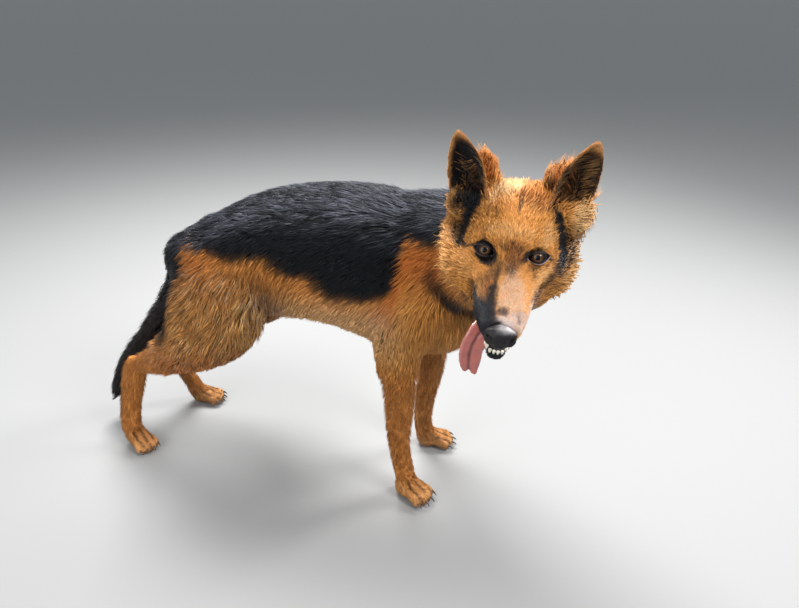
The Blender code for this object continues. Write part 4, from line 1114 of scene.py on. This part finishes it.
def comb(tufts, rise):
    # the planned lie, length and lift, with strays and waves
    at, out, count = tufts.at, tufts.out, len(tufts.at)
    lie, length, lift = hairAt(at, tufts.onEar)
    lie += unit(dice.normal(size=(count, 3))) * tuftPlan["stray"]
    hip = onHip(at)
    wave = sum(cloud(at, size, seed) * height for size, seed, height in tuftPlan["waves"])
    lie += unit(np.cross(out, lie)) * (wave * (0.5 + 1.1 * hip))[:, None]
    lie = alongSkin(lie, out)
    stretched = at - lie * (at * lie).sum(axis=1, keepdims=True) * 0.8
    streak = cloud(stretched, tuftPlan["streak"], 6)
    chance = dice.random((count, 3))
    least, spread = tuftPlan["lengths"]
    length = length * (least + spread * chance[:, 0])
    least, spread = tuftPlan["lifts"]
    lift = lift * (least + spread * chance[:, 1]) * (1 + (rise - 1) * ease(0.010, 0.024, length))
    wisp = np.zeros(count, bool)
    if tufts.onEar.all():
        lie, length, lift, wisp = insideEars(at, out, lie, length, lift)
    if tufts.onHead.any():
        lie, length = roundEyes(at, out, lie, length)
        # black hair lies along its bands, not out across the lighter hair
        dark = ease(0.3, 0.8, markings(at, out, tufts.label)[:, 0])
        dark = dark * tufts.onHead * ease(0.045, 0.030, inHead(at)[:, 0])
        wayOut = headTurn @ np.array(easelPlan["across"])
        lie = unit(lie - wayOut * ((lie @ wayOut) * 0.9 * dark)[:, None])
        length, lift = length * (1 - 0.25 * dark), lift * (1 - 0.35 * dark)
    tufts.lie, tufts.length, tufts.lift, tufts.wisp = lie, length, lift, wisp
    tufts.hip, tufts.streak, tufts.chance = hip, streak, chance


def clumped(at, share):
    # the nearest clump centre of each root, and which clump it is
    count = max(1, int(len(at) * share))
    centres = dice.choice(len(at), count, replace=False)
    tree = KDTree(count)
    for k, row in enumerate(centres.tolist()):
        tree.insert(at[row], k)
    tree.balance()
    which = np.array([tree.find(p)[1] for p in at.tolist()])
    return at[centres][which], which


def gather(tufts, draw):
    # tips are drawn to the middle of small clumps and of larger locks, and each clump has its tone
    at, length = tufts.at, tufts.length
    small, which = clumped(at, tuftPlan["clump"])
    large, _ = clumped(at, tuftPlan["lock"])
    long = ease(0.008, 0.020, length)
    tones = dice.random(which.max() + 1)[which]
    tones = 0.5 + (tones - 0.5) * (0.35 + 0.25 * long) + tufts.streak * (0.40 + 0.20 * long)
    tufts.tones = 0.5 + (tones - 0.5) * np.where(tufts.onHead, 1.35, 1.0)
    pull = (small - at) * tuftPlan["pull"] + (large - at) * tuftPlan["lockPull"]
    pull = pull * (draw * (1 + 0.5 * tufts.hip))[:, None]
    size = np.maximum(np.linalg.norm(pull, axis=1), 1e-9)
    tufts.pull = pull * np.minimum(1.0, 0.4 * length / size)[:, None]
    tufts.lift = tufts.lift * (0.8 + 0.4 * tufts.tones)


def tint(tufts, marks):
    # streaks: dark and light ones on the hip, the dark ones partly painted shade between locks; streaks of
    # painted sheen on the saddle's black; dark and light ones on short head hair
    hip, streak = tufts.hip, tufts.streak
    sleek = tufts.onHead * ease(0.013, 0.009, tufts.length)
    black, _, pale, brown = marks.T
    brown = np.clip(brown + hip * np.clip(streak * 3.0 - 0.45, 0, 0.75), 0, 1)
    pale = np.clip(pale + hip * np.clip(-streak * 3.0, -0.3, 0.50), 0, 1)
    pale = pale * np.where(black > 0.5, np.clip(0.5 + 3.2 * streak, 0.0, 1.5), 1.0)
    brown = brown * (1 + sleek * np.clip(1.6 * streak, -0.8, 0.6))
    marks[:, 3] = np.clip(brown + sleek * np.clip(streak * 1.2 - 0.12, 0, 0.34), 0, 1)
    marks[:, 2] = np.clip(pale * (1 + sleek * np.clip(2.2 * streak, -0.7, 0.3)), 0, 1)
    marks[tufts.wisp] = wispPlan["marks"]


def tuftMesh(name, tall, rows, shades, marks, flatPlaces):
    # rows: a root where the tuft is tall, a ring of three corners, and a tip; a short one's ring is
    # closed below
    verts = np.concatenate(rows, axis=1)
    count, size = verts.shape[:2]
    lead = size - 4
    pattern = [(0, 1 + k, 1 + (k + 1) % 3) for k in range(3)] if tall else [(0, 1, 2)]
    pattern += [(lead + (k + 1) % 3, lead + k, size - 1) for k in range(3)]
    loops = (np.arange(count)[:, None, None] * size + np.array(pattern)[None]).ravel()
    mesh = bpy.data.meshes.new(name)
    mesh.vertices.add(count * size)
    mesh.vertices.foreach_set("co", verts.astype(np.float32).ravel())
    mesh.loops.add(len(loops))
    mesh.loops.foreach_set("vertex_index", loops.astype(np.int32))
    mesh.polygons.add(len(loops) // 3)
    mesh.polygons.foreach_set("loop_start", np.arange(0, len(loops), 3, dtype=np.int32))
    mesh.update(calc_edges=True)
    mesh.shade_smooth()
    item = placed(name, mesh)
    along = np.array([0.0] * lead + [0.5 * lead] * 3 + [1.0])
    across = np.array([0.5] * lead + [0.0, 1.0, 0.5, 0.5])
    strand = np.ones((count, size, 4))
    strand[:, :, 0] = shades[:, 0, None]
    # how far along the tuft, for the painted shade at its root
    strand[:, :, 1] = shades[:, 2, None] + (1 - shades[:, 2, None]) * along
    strand[:, :, 2] = shades[:, 1, None]
    setColours(item, "strand", strand)
    setColours(item, "marks", marks)
    spread = np.stack((across, along), axis=1) - 0.5
    flat = (flatPlaces[:, None] + spread[None] * tuftPlan["patch"]).reshape(-1, 2)[loops]
    layer = mesh.uv_layers.new(name="OFBake")
    layer.data.foreach_set("uv", np.clip(flat, 0, 1).astype(np.float32).ravel())
    mesh.materials.append(hairLook)
    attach(item, "root")


def ringRound(tufts, waist, along, width):
    # three corners round each tuft's waist, flat on the skin's side
    across = unit(np.cross(along, tufts.out))
    up = np.cross(across, along)
    half = width * np.clip(tufts.length / 0.010, 0.6, 1.0) * (0.70 + 0.6 * tufts.chance[:, 2]) * 0.5
    thick = half * tuftPlan["flatness"]
    return np.stack([waist + across * (half * right)[:, None] + up * (thick * high)[:, None]
                     for right, high in ((-1, -0.5), (1, -0.5), (0, 1))], axis=1)


def growTufts(name, pelt, faces, share, count, tall, width, rise, draw):
    tufts = rootTufts(pelt, faces, share, count)
    comb(tufts, rise)
    gather(tufts, draw)
    at, out, label, lie, length = tufts.at, tufts.out, tufts.label, tufts.lie, tufts.length
    tip, tipOut = onSkin(at + lie * length[:, None] + tufts.pull)
    tip += tipOut * tufts.lift[:, None]
    root = at - out * tuftPlan["sink"]
    middle, middleOut, waist = at, out, root        # a short tuft stands on its ring
    if tall:
        part = tuftPlan["waist"]
        middle, middleOut = onSkin(at + lie * (length * part)[:, None] + tufts.pull * part)
        waist = middle + middleOut * (tufts.lift * min(1.0, 1.7 * part))[:, None]
    seen = markings(middle, middleOut, label)
    # a tip is marked by its own place on the head, and elsewhere more by the tuft's middle
    exact = np.where(np.isin(label, ["head", "lower_jaw", *earNodes]), 0.9, 0.35)[:, None]
    last = seen * (1 - exact) + markings(tip, tipOut, label) * exact
    tint(tufts, seen)
    tint(tufts, last)
    marks = np.stack([seen] * (4 if tall else 3) + [last], axis=1)
    ring = ringRound(tufts, waist, unit(tip - root), width)
    # each tuft's own chance, its clump's tone, and how much of the painted shade at its root is lifted
    shades = np.stack((tufts.chance[:, 2], tufts.tones, ease(0.016, 0.006, length) * 0.55), axis=1)
    rows = ([root[:, None]] if tall else []) + [ring, tip[:, None]]
    tuftMesh(name, tall, rows, shades, marks, tufts.flat)
    print(name, len(at))


def makePelt():
    # a coarser copy of the skin for the tufts to be planned on
    copy = placed("pelt", skin.data.copy())
    thin(copy, skinPlan["peltTriangles"], False)
    pelt = SimpleNamespace(corners=pointsOf(copy), turned=normalsOf(copy), faces=trianglesOf(copy))
    bpy.data.objects.remove(copy, do_unlink=True)
    pelt.labels = nearestNodes(pelt.corners)
    return pelt


def growCoat():
    # the regions are grown in this order, which fixes the random draws
    pelt = makePelt()
    middle = pelt.corners[pelt.faces].mean(axis=1)
    label = pelt.labels[pelt.faces[:, 0]]

    def isOn(*names):
        return np.isin(label, [name for name in labelNames if name.startswith(names)])

    _, length, _ = hairAt(middle, isOn("ear"))
    head, trunk = isOn("head", "lower_jaw"), isOn("trunk")
    # shorter hair is denser; the face's short tufts and the ruff's tall ones share a border
    short = 0.008 / np.maximum(length, 0.0045)
    face = ease(0.0140, 0.0080, length) * short
    ruff = ease(0.0062, 0.0110, length) * short
    even = np.ones(len(short))
    rightCheek, right, front = inHead(middle)[:, 1] < 0, middle[:, 1] < trunkMiddle, middle[:, 0] > 0.06
    regions = {     # faces, and their density
        "coatFace": (head & (face > 0), face),
        "coatRuffRight": (head & rightCheek & (ruff > 0), ruff),
        "coatRuffLeft": (head & ~rightCheek & (ruff > 0), ruff),
        "coatEars": (isOn("ear"), short),
        "coatNeck": (isOn("neck"), even),
        "coatShoulderRight": (trunk & right & front, even),
        "coatShoulderLeft": (trunk & ~right & front, even),
        "coatRumpRight": (trunk & right & ~front, even),
        "coatRumpLeft": (trunk & ~right & ~front, even),
        "coatThighs": (isOn("thigh"), even),
        "coatTail": (isOn("tail"), even),
        "coatLegs": (isOn("foreleg", "forepaw", "shank", "hindfoot"), short),
    }
    for name, (chosen, share) in regions.items():
        growTufts(name, pelt, pelt.faces[chosen], share[chosen], *coatPlan[name])


growCoat()


def dress(item, look):
    item.data.shade_smooth()
    item.data.materials.append(look)


eyePlan = {
    "radius": lidPlan["ball"], "cornea": (math.radians(33), 0.0008),     # the cornea's reach and height
    "facing": {"right": (0.596, -0.001, 0.803), "left": (0.655, -0.076, 0.750)},
    "fibre": ((0.022, 0.009, 0.004, 1), (0.095, 0.042, 0.018, 1)),
    # rings from the middle out, by their soft edges as shares of a quarter turn
    "pupil": (0.165, 0.190, (0.001, 0.001, 0.001, 1)), "inner": (0.20, 0.27, (0.125, 0.066, 0.034, 1)),
    "rim": (0.34, 0.43, (0.006, 0.004, 0.003, 1)), "white": (0.50, 0.70, (0.022, 0.014, 0.012, 1)),
}


def eyeMaterial():
    look, base = newMaterial("eyeBall", Roughness=0.20, Specular_IOR_Level=0.08, Coat_Weight=0.35,
                             Coat_Roughness=0.02)
    angle, cosine, sine, _ = base.columns("iris")
    spoke = base.node("ShaderNodeCombineXYZ", values={0: cosine * 6.0, 1: sine * 6.0, 2: angle * 5.0})
    colour = spoke.mottle(3.0, 4.0).mixed(*eyePlan["fibre"])
    for ring in ("inner", "rim", "white", "pupil"):
        low, high, tone = eyePlan[ring]
        smooth = {"interpolation_type": "SMOOTHSTEP"}
        step = base.node("ShaderNodeMapRange", smooth, {0: angle, 1: low, 2: high})
        colour = (1 - step if ring in ("inner", "pupil") else step).mixed(colour, tone)
    colour.feed("Base Color")
    return look


def makeEyes():
    look = eyeMaterial()
    for side in sides:
        deselect()
        bpy.ops.mesh.primitive_uv_sphere_add(segments=72, ring_count=48, radius=eyePlan["radius"])
        ball = bpy.context.object
        ball.name = "eyeBall" + side.title()
        places = pointsOf(ball)
        angle = np.arccos(np.clip(places[:, 2] / eyePlan["radius"], -1, 1))
        reach, height = eyePlan["cornea"]
        bulge = height * np.clip(1 - (angle / reach) ** 2, 0, 1) ** 0.7
        turn = np.arctan2(places[:, 1], places[:, 0])
        axis = Vector(headTurn @ np.array(eyePlan["facing"][side])).to_track_quat("Z", "Y").to_matrix()
        places = unit(places) * (eyePlan["radius"] + bulge)[:, None]
        setPoints(ball, places @ np.array(axis).T + fromHead(eyeCentre(sides[side])))
        iris = columns(angle / (math.pi / 2), np.cos(turn) * 0.5 + 0.5, np.sin(turn) * 0.5 + 0.5)
        setColours(ball, "iris", iris)
        dress(ball, look)
        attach(ball, "root")
        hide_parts("eye_" + side)


nosePlan = {
    "grain": 0.0007, "smoothings": 14,
    "hole": 0.0065, "slit": 0.0032, "split": 0.0016, "wing": 0.0010,    # depths, and the wing's height
    "swell": 0.0012, "drop": 0.0030,                                    # out in front, down behind
    # the light grey below is a painted highlight for the leather's top
    "dark": ((0.005, 0.004, 0.005, 1), (0.014, 0.011, 0.012, 1)), "paintedHighlight": (0.60, 0.555, 0.560, 1),
    # the darkest colour below is painted shade inside the nostrils
    "deep": (0.002, 0.001, 0.001, 1),
}


def noseMaterial():
    look, base = newMaterial("noseLeather", Coat_Weight=0.12, Coat_Roughness=0.20, Specular_IOR_Level=0.20)
    place = base.place()
    pebble, mottle = place.pebbles(620.0), place.mottle(160.0)
    high, deep, _, _ = base.columns("noseMarks")
    # the top of the leather is mixed toward light grey, a painted highlight
    colour = (high * (0.15 + mottle * 1.1)).mixed(mottle.mixed(*nosePlan["dark"]), nosePlan["paintedHighlight"])
    # the nostrils darkened as painted shade in their holes
    deep.mixed(colour, nosePlan["deep"]).feed("Base Color")
    (0.48 + pebble * 0.25).feed("Roughness")
    pebble.bump(0.7, 0.0005)
    return look


def makeNose():
    nose = copyOf(["nose"], "noseLeather")
    applyModifier(nose, "REMESH", mode="VOXEL", voxel_size=nosePlan["grain"])
    applyModifier(nose, "SMOOTH", factor=0.5, iterations=nosePlan["smoothings"])
    local = inHead(pointsOf(nose))
    side, sign = np.abs(local[:, 1]), np.sign(local[:, 1])
    x, z = local[:, 0], local[:, 2]
    # nostrils: a round hole in front with a slit that curls out to the side
    hole = fade(side, 0.0122, 0.0034, z, -0.0088, 0.0034) * ease(0.110, 0.114, x)
    curl = z + 0.0118 - (side - 0.0160) * 0.4
    slit = fade(side, 0.0160, 0.0040, curl, 0, 0.0015) * (x > 0.104)
    wing = fade(side, 0.0130, 0.0045, z, -0.0035, 0.0026)
    split = fade(side, 0, 0.0009) * ease(-0.010, -0.016, z)
    local[:, 0] += (wing * nosePlan["wing"] - hole * nosePlan["hole"] - slit * nosePlan["slit"]
                    - split * nosePlan["split"])
    local[:, 1] -= sign * (slit * 0.0016)
    swell = nosePlan["swell"] * ease(0.104, 0.113, x)
    local += unit(local - headPlan["nose"]) * swell[:, None]
    local[:, 2] -= nosePlan["drop"] * ease(0.114, 0.102, x) * ease(-0.012, -0.004, z)
    setPoints(nose, fromHead(local))
    # a painted highlight: the top of the leather lighter, in the easel's millimetres
    seen, _ = onEasel(local)
    high = ease(-106, -95, seen[:, 1]) * ease(-24, 0, seen[:, 0])
    # columns: the painted highlight on top, and the painted shade in the nostrils
    setColours(nose, "noseMarks", columns(high, ease(0.35, 0.75, np.clip(hole + slit, 0, 1))))
    dress(nose, noseMaterial())
    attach(nose, "root")
    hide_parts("nose")


tonguePlan = {
    "grain": 0.0011, "smoothings": 10,
    "line": [(0.034, -0.004, -0.060), (0.058, -0.009, -0.0625), (0.078, -0.018, -0.0622),
             (0.0905, -0.026, -0.069), (0.0965, -0.030, -0.080), (0.1015, -0.0314, -0.094),
             (0.108, -0.0308, -0.110), (0.1145, -0.029, -0.1225)],          # along its middle
    "groove": 0.0026, "cup": 0.0018, "flare": 0.06, "ripple": 0.0008,
    "lobes": (0.0045, 0.0015), "notch": 0.0030, "round": 0.006,             # the shape of its end
    "flesh": ((0.33, 0.070, 0.060, 1), (0.50, 0.130, 0.098, 1)), "edge": (0.58, 0.21, 0.18, 1),
    # the darkest colour below is painted shade in the groove
    "deep": (0.17, 0.028, 0.026, 1),
}


def tongueMaterial():
    look, base = newMaterial("tongue", Coat_Weight=0.8, Coat_Roughness=0.14)
    place = base.place()
    pebble, mottle = place.pebbles(900.0), place.mottle(90.0)
    groove, edge, _, _ = base.columns("tongueMarks")
    colour = (edge * 0.7).mixed(mottle.mixed(*tonguePlan["flesh"]), tonguePlan["edge"])
    # the groove darkened as painted shade in the crease
    groove.mixed(colour, tonguePlan["deep"]).feed("Base Color")
    (0.42 + pebble * 0.18).feed("Roughness")
    pebble.bump(0.6, 0.0006)
    return look


def makeTongue():
    tongue = copyOf(["tongue"], "tongueSoft")
    applyModifier(tongue, "REMESH", mode="VOXEL", voxel_size=tonguePlan["grain"])
    applyModifier(tongue, "SMOOTH", factor=0.5, iterations=tonguePlan["smoothings"])
    local = inHead(pointsOf(tongue))
    # place along the tongue (t), across it (u) and up from its middle (v)
    line = np.array(tonguePlan["line"])
    lengths = np.concatenate(([0], np.cumsum(np.linalg.norm(np.diff(line, axis=0), axis=1))))
    fineAt = np.linspace(0, lengths[-1], 120)
    fineLine = np.stack([np.interp(fineAt, lengths, line[:, k]) for k in range(3)], axis=1)
    nearest = np.array([int(np.argmin(((fineLine - p) ** 2).sum(axis=1))) for p in local])
    along = unit(np.gradient(fineLine, axis=0))[nearest]
    across = unit(np.array((0.0, 1.0, 0.0)) - along * along[:, 1:2])
    up = np.cross(along, across)
    up *= np.sign(up[:, 0] * 0.8 + up[:, 2])[:, None]
    u = ((local - fineLine[nearest]) * across).sum(axis=1)
    v = ((local - fineLine[nearest]) * up).sum(axis=1)
    t = fineAt[nearest] / lengths[-1]
    tip = ease(0.72, 1.0, t)
    groove = fade(u, -0.0008, 0.0020) * (v > -0.001) * ease(0.25, 0.5, t)
    local -= up * (groove * tonguePlan["groove"] * (1 - 0.4 * tip))[:, None]
    local += up * ((u / 0.016) ** 2 * tonguePlan["cup"] * ease(0.3, 0.6, t))[:, None]
    local += across * (u * tip * tonguePlan["flare"])[:, None]
    right, left = tonguePlan["lobes"]
    lobes = right * fade(u, 0.0075, 0.006) + left * fade(u, -0.009, 0.006)
    notch = tonguePlan["notch"] * fade(u, -0.001, 0.0020)
    local += along * (tip * (lobes - notch - (u / 0.0165) ** 4 * tonguePlan["round"]))[:, None]
    local += up * (tonguePlan["ripple"] * np.sin(t * 31 + u * 160) * ease(0.4, 0.7, t))[:, None]
    setPoints(tongue, fromHead(local))
    setColours(tongue, "tongueMarks", columns(groove, ease(0.010, 0.016, np.abs(u))))
    dress(tongue, tongueMaterial())
    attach(tongue, "root")
    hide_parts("tongue")


toothPlan = {       # place in head axes, width, thickness and height of the lower left teeth
    "centralIncisor": ((0.1064, 0.0026, -0.0750), 0.0044, 0.0034, 0.0095),
    "middleIncisor": ((0.1052, 0.0078, -0.0750), 0.0046, 0.0034, 0.0100),
    "cornerIncisor": ((0.1010, 0.0122, -0.0740), 0.0044, 0.0040, 0.0100),
    "canine": ((0.0962, 0.0140, -0.0725), 0.0060, 0.0064, 0.0155),
}
enamelPlan = {"bone": ((0.72, 0.66, 0.52, 1), (0.86, 0.83, 0.74, 1)), "gum": (0.42, 0.16, 0.14, 1)}


def enamelMaterial():
    look, base = newMaterial("toothEnamel", Coat_Weight=0.6, Coat_Roughness=0.10)
    low, _, _, _ = base.columns("toothMarks")
    mottle = base.place().mottle(300.0, 2.0)
    low.mixed(mottle.mixed(*enamelPlan["bone"]), enamelPlan["gum"]).feed("Base Color")
    (0.24 + mottle * 0.14).feed("Roughness")
    return look


def makeTooth(canine, sign, place, width, thick, height):
    deselect()
    bpy.ops.mesh.primitive_cylinder_add(vertices=10, radius=1, depth=2)
    tooth = bpy.context.object
    applyModifier(tooth, "BEVEL", width=0.25, segments=2)
    applyModifier(tooth, "SUBSURF", levels=2, render_levels=2)
    shape = pointsOf(tooth)
    up = (shape[:, 2] + 1) / 2
    pointed = 1 - 0.68 * up ** 1.4 if canine else 0.62 + 0.38 * ease(0.1, 0.75, up)
    back, out = (0.0022, 0.0012) if canine else (0, 0)      # the canine's curve
    local = np.stack((shape[:, 1] * thick / 2 * pointed - up ** 2 * back,
                      shape[:, 0] * width / 2 * pointed * (1 + 0.12 * np.sin(up * math.pi)) + up ** 2 * out,
                      up * height), axis=1)
    setPoints(tooth, fromHead((local + place) * (1, sign, 1)))
    setColours(tooth, "toothMarks", columns(ease(0.40, 0.12, up) * 0.8))
    return tooth


def makeTeeth():
    teeth = joined([makeTooth(name == "canine", sign, *sizes) for name, sizes in toothPlan.items()
                    for sign in (1, -1)])
    editAll(teeth, bpy.ops.mesh.normals_make_consistent, inside=False)
    teeth.name = "lowerTeeth"
    teeth.data.materials.clear()
    dress(teeth, enamelMaterial())
    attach(teeth, "root")
    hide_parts("teeth_lower")


clawPlan = {"subdivisions": 2, "horn": ((0.030, 0.022, 0.018, 1), (0.11, 0.080, 0.062, 1))}


def clawMaterial():
    look, base = newMaterial("claw")
    streak = base.place().mottle(240.0, 4.0)
    streak.mixed(*clawPlan["horn"]).feed("Base Color")
    (0.30 + streak * 0.25).feed("Roughness")
    return look


def makeClaws():
    names = [name for name in nodes if name.startswith("claw")]
    claws = copyOf(names, "claws")
    applyModifier(claws, "SUBSURF", levels=clawPlan["subdivisions"], render_levels=clawPlan["subdivisions"])
    dress(claws, clawMaterial())
    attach(claws, "root")
    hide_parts(*names)


makeEyes()
makeNose()
makeTongue()
makeTeeth()
makeClaws()
print("face parts")

# where the camera stands, its angles in degrees, its lens in millimetres, and the picture's shift
cameraPlan = {"at": (0.4363, -0.835, 0.886), "heading": 14.6, "down": 28.0, "lens": 27.03, "shift": 0.005}
stagePlan = {
    "floor": 160, "floorColour": (0.30, 0.30, 0.296, 1), "air": (0.9, 0.95, 1.0, 1), "airLight": 0.50,
    "aim": (0, 0, 0.4),     # where the lamps point, at the dog's middle
}
lampPlan = {        # place, size and power
    "key": ((1.7, -0.6, 2.0), 0.7, 36),
    "fill": ((-1.3, -2.1, 1.4), 2.2, 52),
    "top": ((-0.6, 1.0, 2.2), 1.1, 105),
    "rim": ((1.5, 1.1, 1.4), 0.6, 30),
}


def makeCamera():
    heading, down = math.radians(cameraPlan["heading"]), math.radians(cameraPlan["down"])
    look = Vector((-math.sin(heading) * math.cos(down), math.cos(heading) * math.cos(down), -math.sin(down)))
    lens = bpy.data.cameras.new("camera")
    lens.sensor_fit = "HORIZONTAL"
    lens.sensor_width = 36.0
    lens.lens = cameraPlan["lens"]
    lens.shift_y = cameraPlan["shift"]
    camera = placed("camera", lens)
    camera.location = cameraPlan["at"]
    camera.rotation_euler = look.to_track_quat("-Z", "Y").to_euler()
    bpy.context.scene.camera = camera


def makeStage():
    deselect()
    bpy.ops.mesh.primitive_plane_add(size=stagePlan["floor"], location=(0, 0, 0))
    floor = bpy.context.object
    floor.name = "floor"
    look, _ = newMaterial("paleFloor", Base_Color=stagePlan["floorColour"], Roughness=0.8)
    floor.data.materials.append(look)


def makeLights():
    for name, (place, size, power) in lampPlan.items():
        lamp = bpy.data.lights.new(name, "AREA")
        lamp.size = size
        lamp.energy = power
        item = placed(name, lamp)
        item.location = place
        beam = Vector(stagePlan["aim"]) - Vector(place)
        item.rotation_euler = beam.to_track_quat("-Z", "Y").to_euler()
    world = bpy.data.worlds.new("studio")
    world.use_nodes = True
    air = world.node_tree.nodes["Background"].inputs
    air["Color"].default_value = stagePlan["air"]
    air["Strength"].default_value = stagePlan["airLight"]
    bpy.context.scene.world = world
    bpy.context.scene.view_settings.view_transform = "Standard"


makeCamera()
makeStage()
makeLights()
